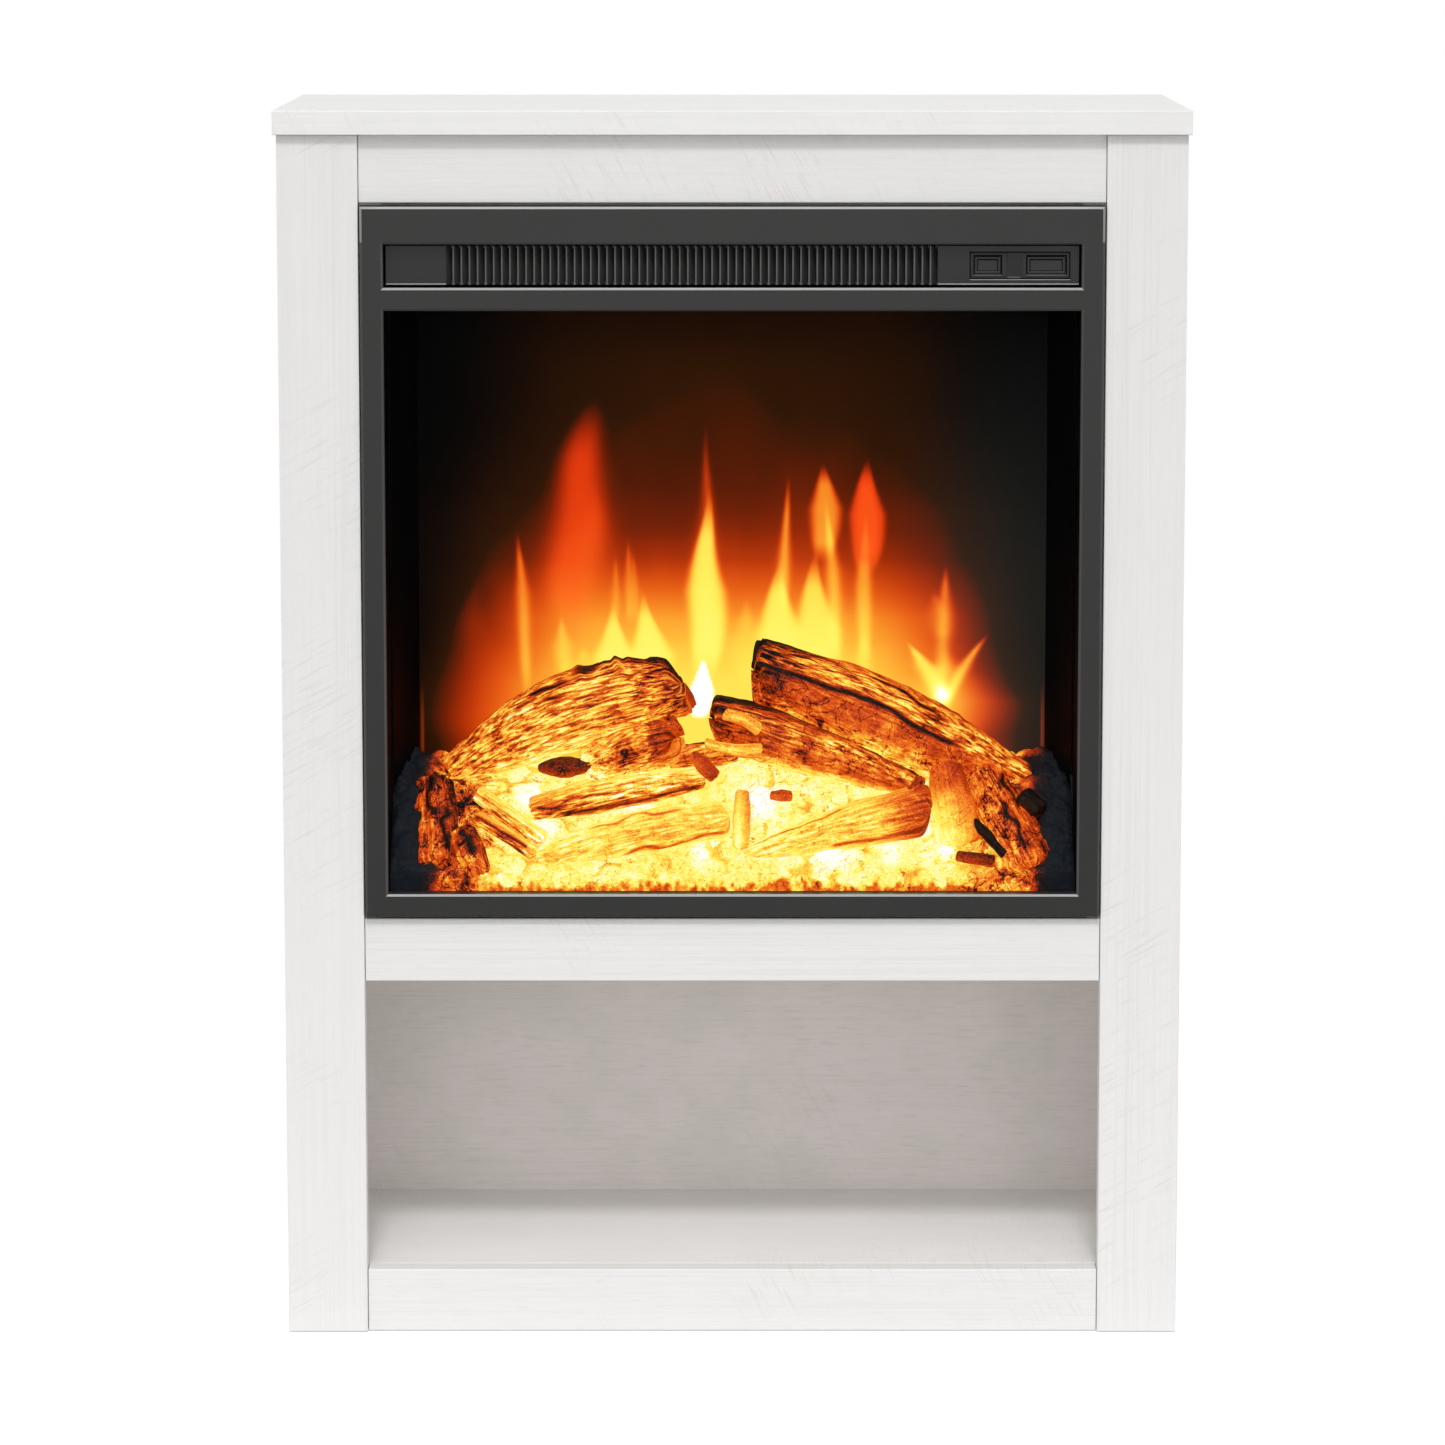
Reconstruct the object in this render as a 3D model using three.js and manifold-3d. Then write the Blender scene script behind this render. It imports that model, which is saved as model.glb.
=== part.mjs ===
// Free-standing electric fireplace: a surround of whitewashed laminated board with an open
// niche at the bottom, holding an electric firebox with a fan heater behind a louvred strip,
// a rotating flame effect behind a screen, and a log set behind glass.
// Millimetres, +X right, +Y to the back, +Z up. The origin is on the floor, at the middle of
// the top's outline.
import * as THREE from "three";
import { mergeVertices } from "three/addons/utils/BufferGeometryUtils.js";
import Module from "manifold-3d";

const wasm = await Module();
wasm.setup();

// ---------------------------------------------------------------- driving sizes: surround
const board = 15; // every laminated board
const seam = 0.3; // hairline between neighbouring pieces
const fuse = 0.5; // how far two joined shapes of one piece run into each other
const past = 1; // how far a cut runs beyond the faces it opens
const stileWidth = 50;
const openingWidth = 462; // between the stiles
const topDepth = 240;
const topSideOverhang = 2;
const topFrontOverhang = 5;
const railSetback = 2.5; // the rails stand back from the stiles
const bottomRailHeight = 40;
const nicheHeight = 186; // mouth of the niche
const middleRailHeight = 40;
const insertOpeningHeight = 449;
const topRailHeight = 42;
const backRecess = 11; // the boards at the back stand in from the rear edges
const stretcherHeight = 60;

// ---------------------------------------------------------------- driving sizes: firebox
const openingSideGap = 1; // fascia to stile
const openingEndGap = 2; // fascia to rail
const fasciaProud = 3; // the fascia stands in front of the stiles
const fasciaSheet = 1.5;
const fasciaDepth = 15;
const returnDepth = 5; // folded edge round the window and the slot
const border = 14.5; // fascia face beside and below the window, and above it to the slot
const slotHeight = 26.5;
const topBand = 23.5; // fascia face above the slot
const sheet = 1; // casing and liner steel
const insertDepth = 151;
const casingInset = 6; // casing inside the fascia's outline
const flange = 6; // folded edges of the casing sides
const footHeight = 3;
const footRadius = 7;
const footInset = 24;
const glassThickness = 4;
const glassLap = 5;
const openingMargin = 1; // bulkhead openings, wider than the window
const gasketWidth = 4;
const wallMargin = 0.5; // firebox wall outside the window's edge

// Louvred strip and controls
const panelGap = 1.2; // strip to slot edge
const panelSetback = 8; // strip behind the fascia's face
const panelPlate = 2.5;
const bladePitch = 5;
const bladeThickness = 1;
const bladeDepth = 5.5;
const ventBlank = 37.3; // plain end of the strip, left of the louvres
const controlEnd = 87.3; // plain end with the keys, right of the louvres
const ribHeight = 1.6;
const pocketWidth = 62.3;
const pocketHeight = 17.1;
const pocketDepth = 1.2;
const pocketEdge = 5.3; // pocket to the strip's right-hand end
const bezelBorder = 2.65;
const bezelHeight = 1;
const keyHeight = 11.4;
const powerKeyWidth = 17;
const heatKeyWidth = 24.5;
const lensWidth = 8.1;
const keyClearance = 0.35;
const keySetback = 0.9;
const keyTravel = 1;
const keyStemRadius = 2;
const keyStemEnd = 8; // stem behind the strip's face
const switchSize = 6;
const switchDepth = 3;
const receiverSize = 4;
const receiverDepth = 1.5;
const boardPcb = 1.6;
const postRadius = 2;
const controlInset = 10; // opening for the controls, from the end of the louvres
const cardMargin = 3; // circuit board past the pocket's ends, over its two posts
const keyFlange = 0.8; // lip that keeps a key in its hole

// Heater
const shieldRise = 3; // heat shield above the window's top edge
const heaterWall = 1.5;
const heaterDepth = 18;
const elementDepth = 9;
const elementFins = 36;
const elementFinShare = 0.35; // width of a fin in its pitch
const wheelRadius = 15;
const wheelBlades = 18;
const wheelDisc = 1.5;
const wheelChord = 5;
const wheelBladeThickness = 0.8;
const wheelBladeLean = Math.PI / 5;
const wheelRim = 0.5; // blades inside the edge of the end discs
const scrollClearance = 2.5;
const scrollWall = 1.2;
const scrollInsetLeft = 24;
const scrollInsetRight = 42;
const blowerThroat = 4; // tunnel between the scroll and the heater frame
const wheelEndGap = 2;
const shaftStub = 3; // shaft past the scroll's end plate
const shaftRadius = 2;
const shaftClearance = 0.3;
const blowerMotorRadius = 16;
const blowerMotorLength = 26;

// Supply board
const supplyGap = 20; // motor to board
const supplyMargin = 9;
const pegHeight = 5;
const pegSize = 4;
const pegInset = 5; // pegs from the board's corners
const transformer = [29, 22, 18]; // width, depth and height
const relay = [20, 16, 12];

// Flame effect
const rotorBay = 38; // from the flame screen's face to the casing's back
const screenThickness = 3;
const wallBend = 53; // where the firebox walls step in and turn towards the screen
const wallStep = 1.3;
const wallTaper = 14.5; // how far the firebox walls lean in by the screen
const rotorRise = 48; // rotor axle above the casing floor
const rotorFinRadius = 11;
const rotorFinRows = 14;
const rotorFinWidth = 12;
const rotorFinThickness = 0.8;
const rotorSleeve = 1.2;
const rotorEndGap = 26; // rotor bracket to the casing's side
const rotorEar = 9; // half the width of an axle bracket
const rotorFoot = 5; // foot of an axle bracket, each way
const rotorFinMargin = 12; // rotor sleeve to the brackets
const rotorFinTurn = (2 * Math.PI) / 5; // from one pair of blades to the next
const lampMargin = 14; // lamp board to the rotor brackets
const lampWidth = 16;
const emberLampWidth = 20;
const emberLampMargin = 60; // ember lamps to the firebox walls
const rotorMotorRadius = 14;
const rotorMotorLength = 15;
const bracketSheet = 1.5;
const reflectorRise = 70; // foot of the back reflector above the casing floor
const reflectorGap = 2; // back reflector to the folded edges of the casing's sides
const ledCount = 12;
const ledSize = 5;
const ledHeight = 1.6;
const bushingRadius = 6;
const bushingFlange = 9;
const bushingBore = 3.8;
const bushingInset = 40; // cord bush to the casing's side
const bushingRise = 30; // cord bush above the casing's lower edge
const bushingCollar = 2;
const bushingNose = 5; // outside the back plate
const bushingTail = 3; // inside the back plate

// Air slots in the casing's back
const airSlotLength = 18;
const airSlotHeight = 3;
const airSlotPitch = 26;
const airSlotMargin = 60;
const airSlotDrops = [14, 24]; // rows below the casing's ceiling, for the heater
const airSlotRise = 60; // row above the casing's floor, for the lamps

// Ember bed, in the firebox's frame
const bedLip = 16; // height of the bed's front edge above the casing floor
const bedKnee = 64; // height where the steep front slope eases
const bedKneeRun = 43; // depth of the steep front slope
const bedShoulder = 78; // height of the bed's back
const bedFlat = 21; // depth of the level shoulder at the back
const bedShell = 3;
const bedGap = 1; // bed to bulkhead

// ---------------------------------------------------------------- derived planes: surround
const bodyWidth = openingWidth + 2 * stileWidth;
const bodyHalf = bodyWidth / 2;
const innerHalf = bodyHalf - board;
const nicheTop = bottomRailHeight + nicheHeight;
const shelfTop = nicheTop + middleRailHeight;
const openingTop = shelfTop + insertOpeningHeight;
const underside = openingTop + topRailHeight;
const front = -topDepth / 2;
const back = topDepth / 2;
const stileFront = front + topFrontOverhang;
const stileBack = stileFront + board;
const railFront = stileFront + railSetback;
const railBack = railFront + board;
const boardBack = back - backRecess;

// ---------------------------------------------------------------- derived planes: firebox
// The firebox has a frame of its own: x from the middle, y back from the fascia's face, and
// z up from the shelf that it stands on.
const fasciaHalf = openingWidth / 2 - openingSideGap;
const fasciaZ = [openingEndGap, insertOpeningHeight - openingEndGap];
const slotZ = [fasciaZ[1] - topBand - slotHeight, fasciaZ[1] - topBand];
const windowHalf = fasciaHalf - border;
const windowZ = [fasciaZ[0] + border, slotZ[0] - border];
const glassY = [returnDepth + seam, returnDepth + seam + glassThickness];
const bulkheadY = [fasciaDepth + seam, fasciaDepth + seam + sheet];
const casingHalf = fasciaHalf - casingInset;
const casingInner = casingHalf - sheet - seam;
const casingZ = [footHeight + seam, fasciaZ[1] - casingInset];
const casingY = [bulkheadY[1] + seam, insertDepth - sheet - seam];
const innerY = [casingY[0] + sheet + seam, casingY[1] - sheet - seam];
const floorZ = casingZ[0] + sheet + seam;
const shieldZ = [windowZ[1] + shieldRise, windowZ[1] + shieldRise + sheet];
const ceilingZ = casingZ[1] - sheet - seam;
const panelHalf = windowHalf - panelGap;
const panelZ = [slotZ[0] + panelGap, slotZ[1] - panelGap];
const panelY = [panelSetback, bulkheadY[0] - seam];
const louvred = 2 * panelHalf - ventBlank - controlEnd;
const bladeCount = Math.round((louvred + bladeThickness) / bladePitch) - 1;
const ventWidth = (bladeCount + 1) * bladePitch - bladeThickness;
const ventX = [ventBlank - panelHalf, ventBlank - panelHalf + ventWidth];
const wallHalf = windowHalf + wallMargin;
const screenY = [insertDepth - rotorBay, insertDepth - rotorBay + screenThickness];
const screenReveal = wallHalf - wallTaper; // half the width of the screen between the walls
const fixingY = fasciaProud + board; // back of the stiles

// ---------------------------------------------------------------- materials
const finish = (color, roughness, metalness = 0, more = {}) =>
  new THREE.MeshStandardMaterial({ color, roughness, metalness, ...more });
const whitewash = finish(0xe9e7e4, 0.55);
const blackSteel = finish(0x1c1c1b, 0.45, 0.6);
const linerBlack = finish(0x060606, 0.25, 0.3);
const blackPlastic = finish(0x1d1d1c, 0.5);
const galvanised = finish(0x9a9d9f, 0.4, 0.9);
const brightSteel = finish(0xc9cbcc, 0.2, 1);
const rubber = finish(0x141414, 0.9);
const glassClear = finish(0x9fb0b5, 0.05, 0, { transparent: true, opacity: 0.25 });
const smokedLens = finish(0x120a0a, 0.1);
const resinLog = finish(0xd8681c, 0.6, 0, { emissive: 0x5a1c00 });
const resinBed = finish(0xf0902a, 0.6, 0, { emissive: 0x7a2a00 });
const screenFrost = finish(0x3a1204, 0.35, 0, { emissive: 0x581800 });
const circuitGreen = finish(0x1d5a34, 0.5);
const ceramic = finish(0xbdb6a8, 0.7);

// ---------------------------------------------------------------- geometry helpers
const middle = ([a, b]) => (a + b) / 2;
const grown = ([a, b], by) => [a - by, b + by];
const around = (half) => [-half, half];
const centredOn = (at, width) => [at - width / 2, at + width / 2];

/** A box between two planes on each axis. */
function box(x, y, z) {
  const shape = new THREE.BoxGeometry(x[1] - x[0], y[1] - y[0], z[1] - z[0]);
  return shape.translate(middle(x), middle(y), middle(z));
}

/** A round bar along X. */
function rodX(radius, x, y, z, sides = 24) {
  const bar = new THREE.CylinderGeometry(radius, radius, x[1] - x[0], sides);
  return bar.rotateZ(Math.PI / 2).translate(middle(x), y, z);
}

/** A round bar along Y. */
function rodY(radius, x, y, z, sides = 24) {
  const bar = new THREE.CylinderGeometry(radius, radius, y[1] - y[0], sides);
  return bar.translate(x, middle(y), z);
}

function outlineOf(points) {
  return new THREE.Shape(points.map(([a, b]) => new THREE.Vector2(a, b)));
}

/** An outline in plan, points (x, y), carried up Z. */
function prismZ(points, z) {
  const options = { depth: z[1] - z[0], bevelEnabled: false };
  return new THREE.ExtrudeGeometry(outlineOf(points), options).translate(0, 0, z[0]);
}

/** An outline seen from the side, points (y, z), carried along X. */
function prismX(points, x) {
  const options = { depth: x[1] - x[0], bevelEnabled: false, curveSegments: 16 };
  const shape = points instanceof THREE.Shape ? points : outlineOf(points);
  const turned = new THREE.Matrix4().makeBasis(
    new THREE.Vector3(0, 1, 0),
    new THREE.Vector3(0, 0, 1),
    new THREE.Vector3(1, 0, 0),
  );
  return new THREE.ExtrudeGeometry(shape, options).applyMatrix4(turned).translate(x[0], 0, 0);
}

/** A closed geometry as a solid that can be joined and cut. */
function solidOf(geometry) {
  const bare = geometry.clone();
  bare.deleteAttribute("normal");
  bare.deleteAttribute("uv");
  const merged = mergeVertices(bare, 1e-4);
  return new wasm.Manifold(
    new wasm.Mesh({
      numProp: 3,
      vertProperties: merged.attributes.position.array,
      triVerts: new Uint32Array(merged.index.array),
    }),
  );
}

function geometryOf(solid) {
  const { vertProperties, triVerts } = solid.getMesh();
  const geometry = new THREE.BufferGeometry();
  geometry.setAttribute("position", new THREE.BufferAttribute(vertProperties, 3));
  geometry.setIndex(new THREE.BufferAttribute(triVerts, 1));
  geometry.computeVertexNormals();
  return geometry;
}

/** Joins some geometries into one, and cuts others out of it. */
function formed(joined, cuts = []) {
  const whole = joined.map(solidOf).reduce((sum, next) => sum.add(next));
  return geometryOf(cuts.map(solidOf).reduce((rest, next) => rest.subtract(next), whole));
}

function piece(name, material, geometry) {
  const mesh = new THREE.Mesh(geometry, material);
  mesh.name = name;
  return mesh;
}

/** A plain rectangular piece, centred on its own origin and placed by its position. */
function plate(name, material, x, y, z) {
  const size = [x, y, z].map(([low, high]) => high - low);
  const mesh = piece(name, material, new THREE.BoxGeometry(...size));
  mesh.position.set(middle(x), middle(y), middle(z));
  return mesh;
}

// ---------------------------------------------------------------- surround
const fixingX = bodyHalf - stileWidth + 12; // wood screws, in from the opening's edge
const fixingZ = shelfTop + insertOpeningHeight / 2;
const woodScrew = { radius: 1.6, head: 3.6, headHeight: 2.2, bite: 10 };

/** Front board at one side, with the pilot hole of the firebox's fixing screw in its back. */
function stile(name, side) {
  const x = side < 0 ? [-bodyHalf, -openingWidth / 2] : [openingWidth / 2, bodyHalf];
  const pilotDepth = woodScrew.bite + 2 * seam;
  const pilot = rodY(
    woodScrew.radius + seam,
    side * fixingX,
    [stileBack - pilotDepth, stileBack + seam],
    fixingZ,
    16,
  );
  const post = box(x, [stileFront, stileBack], [0, underside - seam]);
  return piece(name, whitewash, formed([post], [pilot]));
}

function sidePanel(name, side) {
  const x = side < 0 ? [-bodyHalf, -innerHalf] : [innerHalf, bodyHalf];
  return plate(name, whitewash, x, [stileBack + seam, back], [0, underside - seam]);
}

/** Front board between the stiles. */
function rail(name, z) {
  return plate(name, whitewash, around(openingWidth / 2 - seam), [railFront, railBack], z);
}

function surround() {
  const group = new THREE.Group();
  const between = around(innerHalf - seam);
  const shelfY = [railBack + seam, boardBack];
  const backY = [boardBack - board, boardBack];
  const floorY = [railBack + seam, backY[0] - seam];
  const floorBoardZ = [bottomRailHeight - board, bottomRailHeight];
  const shelfZ = [shelfTop - board, shelfTop];
  const topX = around(bodyHalf + topSideOverhang);
  group.add(
    plate("mantel_top", whitewash, topX, [front, back], [underside, underside + board]),
    sidePanel("left_side_panel", -1),
    sidePanel("right_side_panel", 1),
    stile("left_stile", -1),
    stile("right_stile", 1),
    rail("top_rail", [openingTop, underside - seam]),
    rail("middle_rail", [nicheTop, shelfTop]),
    rail("bottom_rail", [0, bottomRailHeight]),
    plate("insert_shelf", whitewash, between, shelfY, shelfZ),
    plate("niche_floor", whitewash, between, floorY, floorBoardZ),
    plate("niche_back", whitewash, between, backY, [floorBoardZ[0], shelfZ[0] - seam]),
    plate("back_stretcher", whitewash, between, backY, [underside - stretcherHeight, underside - seam]),
  );
  return group;
}

// ---------------------------------------------------------------- fascia, glass, bulkhead
/** Folded steel front: an outer pan, with a turned-in edge round the window and the slot. */
function fascia() {
  const outer = box(around(fasciaHalf), [0, fasciaDepth], fasciaZ);
  const hollow = box(
    around(fasciaHalf - fasciaSheet),
    [fasciaSheet, fasciaDepth + past],
    grown(fasciaZ, -fasciaSheet),
  );
  const pan = solidOf(outer).subtract(solidOf(hollow));
  const collars = [windowZ, slotZ].map((z) =>
    solidOf(box(around(windowHalf + fasciaSheet), [0, returnDepth], grown(z, fasciaSheet))),
  );
  const holes = [windowZ, slotZ].map((z) =>
    solidOf(box(around(windowHalf), [-past, fasciaDepth + past], z)),
  );
  const whole = collars.reduce((sum, next) => sum.add(next), pan);
  return piece(
    "fascia",
    blackSteel,
    geometryOf(holes.reduce((rest, next) => rest.subtract(next), whole)),
  );
}

function glassPane() {
  const x = around(windowHalf + glassLap);
  return plate("glass_pane", glassClear, x, glassY, grown(windowZ, glassLap));
}

/** Square rubber ring that presses the glass forward against the fascia. */
function glassGasket() {
  const y = [glassY[1] + seam, bulkheadY[0] - seam];
  const inner = glassLap - gasketWidth;
  const ring = box(around(windowHalf + glassLap), y, grown(windowZ, glassLap));
  const hole = box(around(windowHalf + inner), grown(y, past), grown(windowZ, inner));
  return piece("glass_gasket", rubber, formed([ring], [hole]));
}

const controlX = [ventX[1] + controlInset, panelHalf - ribHeight];

/** Front plate of the casing, open behind the window, the louvres and the controls. */
function bulkhead() {
  const y = grown(bulkheadY, past);
  const throatZ = grown(panelZ, -ribHeight);
  return piece(
    "front_bulkhead",
    linerBlack,
    formed(
      [box(around(fasciaHalf - openingMargin), bulkheadY, grown(fasciaZ, -openingMargin))],
      [
        box(around(windowHalf + openingMargin), y, grown(windowZ, openingMargin)),
        box(ventX, y, throatZ),
        box(controlX, y, throatZ),
      ],
    ),
  );
}

// ---------------------------------------------------------------- louvred strip, controls
const pocketX = [panelHalf - pocketEdge - pocketWidth, panelHalf - pocketEdge];
const keyZ = centredOn(middle(panelZ), keyHeight);
const powerKeyX = [pocketX[0] + bezelBorder, pocketX[0] + bezelBorder + powerKeyWidth];
const heatKeyX = [pocketX[1] - bezelBorder - heatKeyWidth, pocketX[1] - bezelBorder];
const lensX = centredOn((powerKeyX[1] + heatKeyX[0]) / 2, lensWidth);
const lensZ = centredOn(middle(panelZ), pocketHeight - 2 * seam);
const pocketFloor = panelSetback + pocketDepth;
const plateBack = panelSetback + panelPlate;
const switchFront = panelSetback + keyStemEnd + keyTravel + seam;
const pcbFront = switchFront + switchDepth;

/** One moulding: a blank end, a row of slanted blades, and a pocket with two key bezels. */
function ventPanel() {
  const blades = Array.from({ length: bladeCount }, (_, i) => {
    const x = ventX[0] + (i + 1) * bladePitch - bladeThickness;
    const lean = bladePitch - bladeThickness;
    const outline = [
      [x, panelY[0]],
      [x + bladeThickness, panelY[0]],
      [x + bladeThickness + lean, panelY[0] + bladeDepth],
      [x + lean, panelY[0] + bladeDepth],
    ];
    return prismZ(outline, panelZ);
  });
  const ribY = [panelY[0] + bladeDepth - ribHeight, panelY[1]];
  const ribs = [
    [panelZ[0], panelZ[0] + ribHeight],
    [panelZ[1] - ribHeight, panelZ[1]],
  ].map((z) => box(grown(ventX, fuse), ribY, z));
  const ends = [
    [-panelHalf, ventX[0]],
    [ventX[1], panelHalf],
  ];
  const shells = ends.map((x) =>
    formed(
      [box(x, panelY, panelZ)],
      [box(grown(x, -ribHeight), [plateBack, panelY[1] + past], grown(panelZ, -ribHeight))],
    ),
  );
  const posts = grown(pocketX, cardMargin - postRadius).map((x) =>
    rodY(postRadius, x, [plateBack - fuse, pcbFront - seam], middle(panelZ), 12),
  );
  const bezelY = [pocketFloor - bezelHeight, pocketFloor + fuse];
  const bezels = [powerKeyX, heatKeyX].map((x) =>
    box(grown(x, bezelBorder - seam), bezelY, grown(keyZ, bezelBorder / 2)),
  );
  const pocketZ = centredOn(middle(panelZ), pocketHeight);
  const pocket = box(pocketX, [panelY[0] - past, pocketFloor], pocketZ);
  const holes = [powerKeyX, heatKeyX].map((x) => box(x, [0, plateBack + past], keyZ));
  const raised = [...bezels, ...blades, ...ribs, ...posts];
  return piece("vent_panel", blackPlastic, formed([formed(shells, [pocket]), ...raised], holes));
}

/** A key: its cap in the bezel, a flange that stops it behind the plate, and its stem. */
function key(name, x) {
  const capX = grown(x, -keyClearance);
  const capZ = grown(keyZ, -keyClearance);
  const flangeY = [plateBack + seam, plateBack + seam + 1];
  return piece(
    name,
    blackPlastic,
    formed([
      box(capX, [panelSetback + keySetback, flangeY[1]], capZ),
      box(grown(x, keyFlange), flangeY, grown(keyZ, keyFlange)),
      rodY(keyStemRadius, middle(x), [flangeY[0], panelSetback + keyStemEnd], middle(keyZ), 16),
    ]),
  );
}

/** Circuit board behind the keys, with the two switches that they press. */
function controlBoard() {
  const y = [pcbFront, pcbFront + boardPcb];
  const switches = [powerKeyX, heatKeyX].map((x) =>
    box(
      centredOn(middle(x), switchSize),
      [switchFront, pcbFront + fuse],
      centredOn(middle(keyZ), switchSize),
    ),
  );
  const receiver = box(
    centredOn(middle(lensX), receiverSize),
    [pcbFront - receiverDepth, pcbFront + fuse],
    centredOn(middle(keyZ), receiverSize),
  );
  const card = box(grown(pocketX, cardMargin), y, centredOn(middle(panelZ), pocketHeight));
  return piece("control_board", circuitGreen, formed([card, ...switches, receiver]));
}

function louvresAndControls() {
  const group = new THREE.Group();
  group.add(
    ventPanel(),
    key("power_button", powerKeyX),
    key("heat_button", heatKeyX),
    plate("receiver_lens", smokedLens, lensX, [panelSetback, pocketFloor - seam], lensZ),
    controlBoard(),
  );
  return group;
}

// ---------------------------------------------------------------- casing
/** Side of the casing: a channel with folded edges at the front and the back. */
function casingSide(name, side) {
  const outer = casingHalf;
  const [y0, y1] = casingY;
  const channel = [
    [outer, y0],
    [outer - flange, y0],
    [outer - flange, y0 + sheet],
    [outer - sheet, y0 + sheet],
    [outer - sheet, y1 - sheet],
    [outer - flange, y1 - sheet],
    [outer - flange, y1],
    [outer, y1],
  ].map(([x, y]) => [side * x, y]);
  const screwHole = rodX(
    fixingScrew.radius + seam,
    centredOn(side * outer, 2 * fixingScrew.bite),
    fixingScrewY,
    insertOpeningHeight / 2,
    12,
  );
  return piece(name, galvanised, formed([prismZ(channel, casingZ)], [screwHole]));
}

const bushingX = casingHalf - bushingInset;
const bushingZ = casingZ[0] + bushingRise;

/** Back plate, with air slots for the heater and the lamps and a hole for the cord's bush. */
function casingBack() {
  const y = [insertDepth - sheet, insertDepth];
  const slots = [];
  for (const z of [...airSlotDrops.map((drop) => ceilingZ - drop), floorZ + airSlotRise]) {
    const count = Math.floor((2 * (casingHalf - airSlotMargin)) / airSlotPitch);
    for (let i = 0; i < count; i += 1) {
      const x = (i - (count - 1) / 2) * airSlotPitch;
      slots.push(box(centredOn(x, airSlotLength), grown(y, past), centredOn(z, airSlotHeight)));
    }
  }
  const cordHole = rodY(bushingRadius + seam, bushingX, grown(y, past), bushingZ);
  const panel = box(around(casingHalf), y, casingZ);
  return piece("casing_back", galvanised, formed([panel], [...slots, cordHole]));
}

/** Cord bush: a barrel through the back plate with a flange outside and a clip rim inside. */
function cordBushing() {
  const inside = -sheet - seam;
  const profile = [
    [bushingBore, inside - bushingTail],
    [bushingRadius, inside - bushingTail],
    [bushingRadius, seam],
    [bushingFlange, seam],
    [bushingFlange, seam + bushingCollar],
    [bushingRadius, seam + bushingNose],
    [bushingBore, seam + bushingNose],
    [bushingBore, inside - bushingTail],
  ].map(([r, h]) => new THREE.Vector2(r, h));
  const bush = piece("cord_bushing", rubber, new THREE.LatheGeometry(profile, 24));
  bush.position.set(bushingX, insertDepth, bushingZ);
  return bush;
}

function feet() {
  const places = [
    ["front_left", -1, casingY[0] + footInset],
    ["front_right", 1, casingY[0] + footInset],
    ["back_left", -1, casingY[1] - footInset],
    ["back_right", 1, casingY[1] - footInset],
  ];
  return places.map(([name, side, y]) => {
    const height = footHeight - seam;
    const disc = new THREE.CylinderGeometry(footRadius, footRadius, height, 20);
    const foot = piece("foot_" + name, rubber, disc);
    foot.rotation.x = Math.PI / 2;
    foot.position.set(side * (casingHalf - footInset), y, seam + height / 2);
    return foot;
  });
}

function casing() {
  const group = new THREE.Group();
  const across = around(casingInner);
  group.add(
    bulkhead(),
    casingSide("casing_left", -1),
    casingSide("casing_right", 1),
    plate("casing_top", galvanised, across, innerY, [casingZ[1] - sheet, casingZ[1]]),
    plate("casing_bottom", galvanised, across, innerY, [casingZ[0], casingZ[0] + sheet]),
    casingBack(),
    cordBushing(),
    plate("heat_shield", galvanised, across, innerY, shieldZ),
    ...feet(),
  );
  return group;
}

// ---------------------------------------------------------------- fixing brackets
const bracketHeight = 50;
const bracketReach = 30;
const bracketLeg = 26;
const fixingScrew = { radius: 1.8, head: 3.4, headHeight: 2, bite: 6 };
const bracketX = casingHalf + seam;
const bracketY = fixingY + seam;
const fixingScrewY = bracketY + bracketSheet + bracketLeg / 2;

/** A screw along Y: its head starts at its origin and its shank points to -Y. */
function screw(name, { radius, head, headHeight, bite }, through) {
  const length = bite + through + fuse;
  const shank = new THREE.CylinderGeometry(radius, radius, length, 16);
  shank.translate(0, fuse - length / 2, 0);
  const cap = new THREE.CylinderGeometry(head * 0.7, head, headHeight, 16);
  cap.translate(0, headHeight / 2, 0);
  return piece(name, galvanised, formed([shank, cap]));
}

/** Angle bracket from the casing's side to the back of a stile, with its two screws. */
function fixing(word, side) {
  const group = new THREE.Group();
  const outline = [
    [bracketX, bracketY],
    [bracketX + bracketReach, bracketY],
    [bracketX + bracketReach, bracketY + bracketSheet],
    [bracketX + bracketSheet, bracketY + bracketSheet],
    [bracketX + bracketSheet, bracketY + bracketLeg],
    [bracketX, bracketY + bracketLeg],
  ].map(([x, y]) => [side * x, y]);
  const z = insertOpeningHeight / 2;
  const holeX = side * fixingX;
  const screwX = side * (bracketX + bracketSheet + seam);
  const holes = [
    rodY(woodScrew.radius + seam, holeX, grown([bracketY, bracketY + bracketSheet], past), z, 16),
    rodX(fixingScrew.radius + seam, centredOn(side * bracketX, bracketLeg / 3), fixingScrewY, z, 16),
  ];
  const angle = formed([prismZ(outline, centredOn(z, bracketHeight))], holes);
  const intoWood = screw(word + "_wood_screw", woodScrew, bracketSheet + 2 * seam);
  intoWood.position.set(holeX, bracketY + bracketSheet + seam, z);
  const intoCasing = screw(word + "_casing_screw", fixingScrew, bracketSheet + 2 * seam);
  intoCasing.rotation.z = -side * (Math.PI / 2);
  intoCasing.position.set(screwX, fixingScrewY, z);
  group.add(piece(word + "_fixing_bracket", galvanised, angle), intoWood, intoCasing);
  return group;
}

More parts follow.
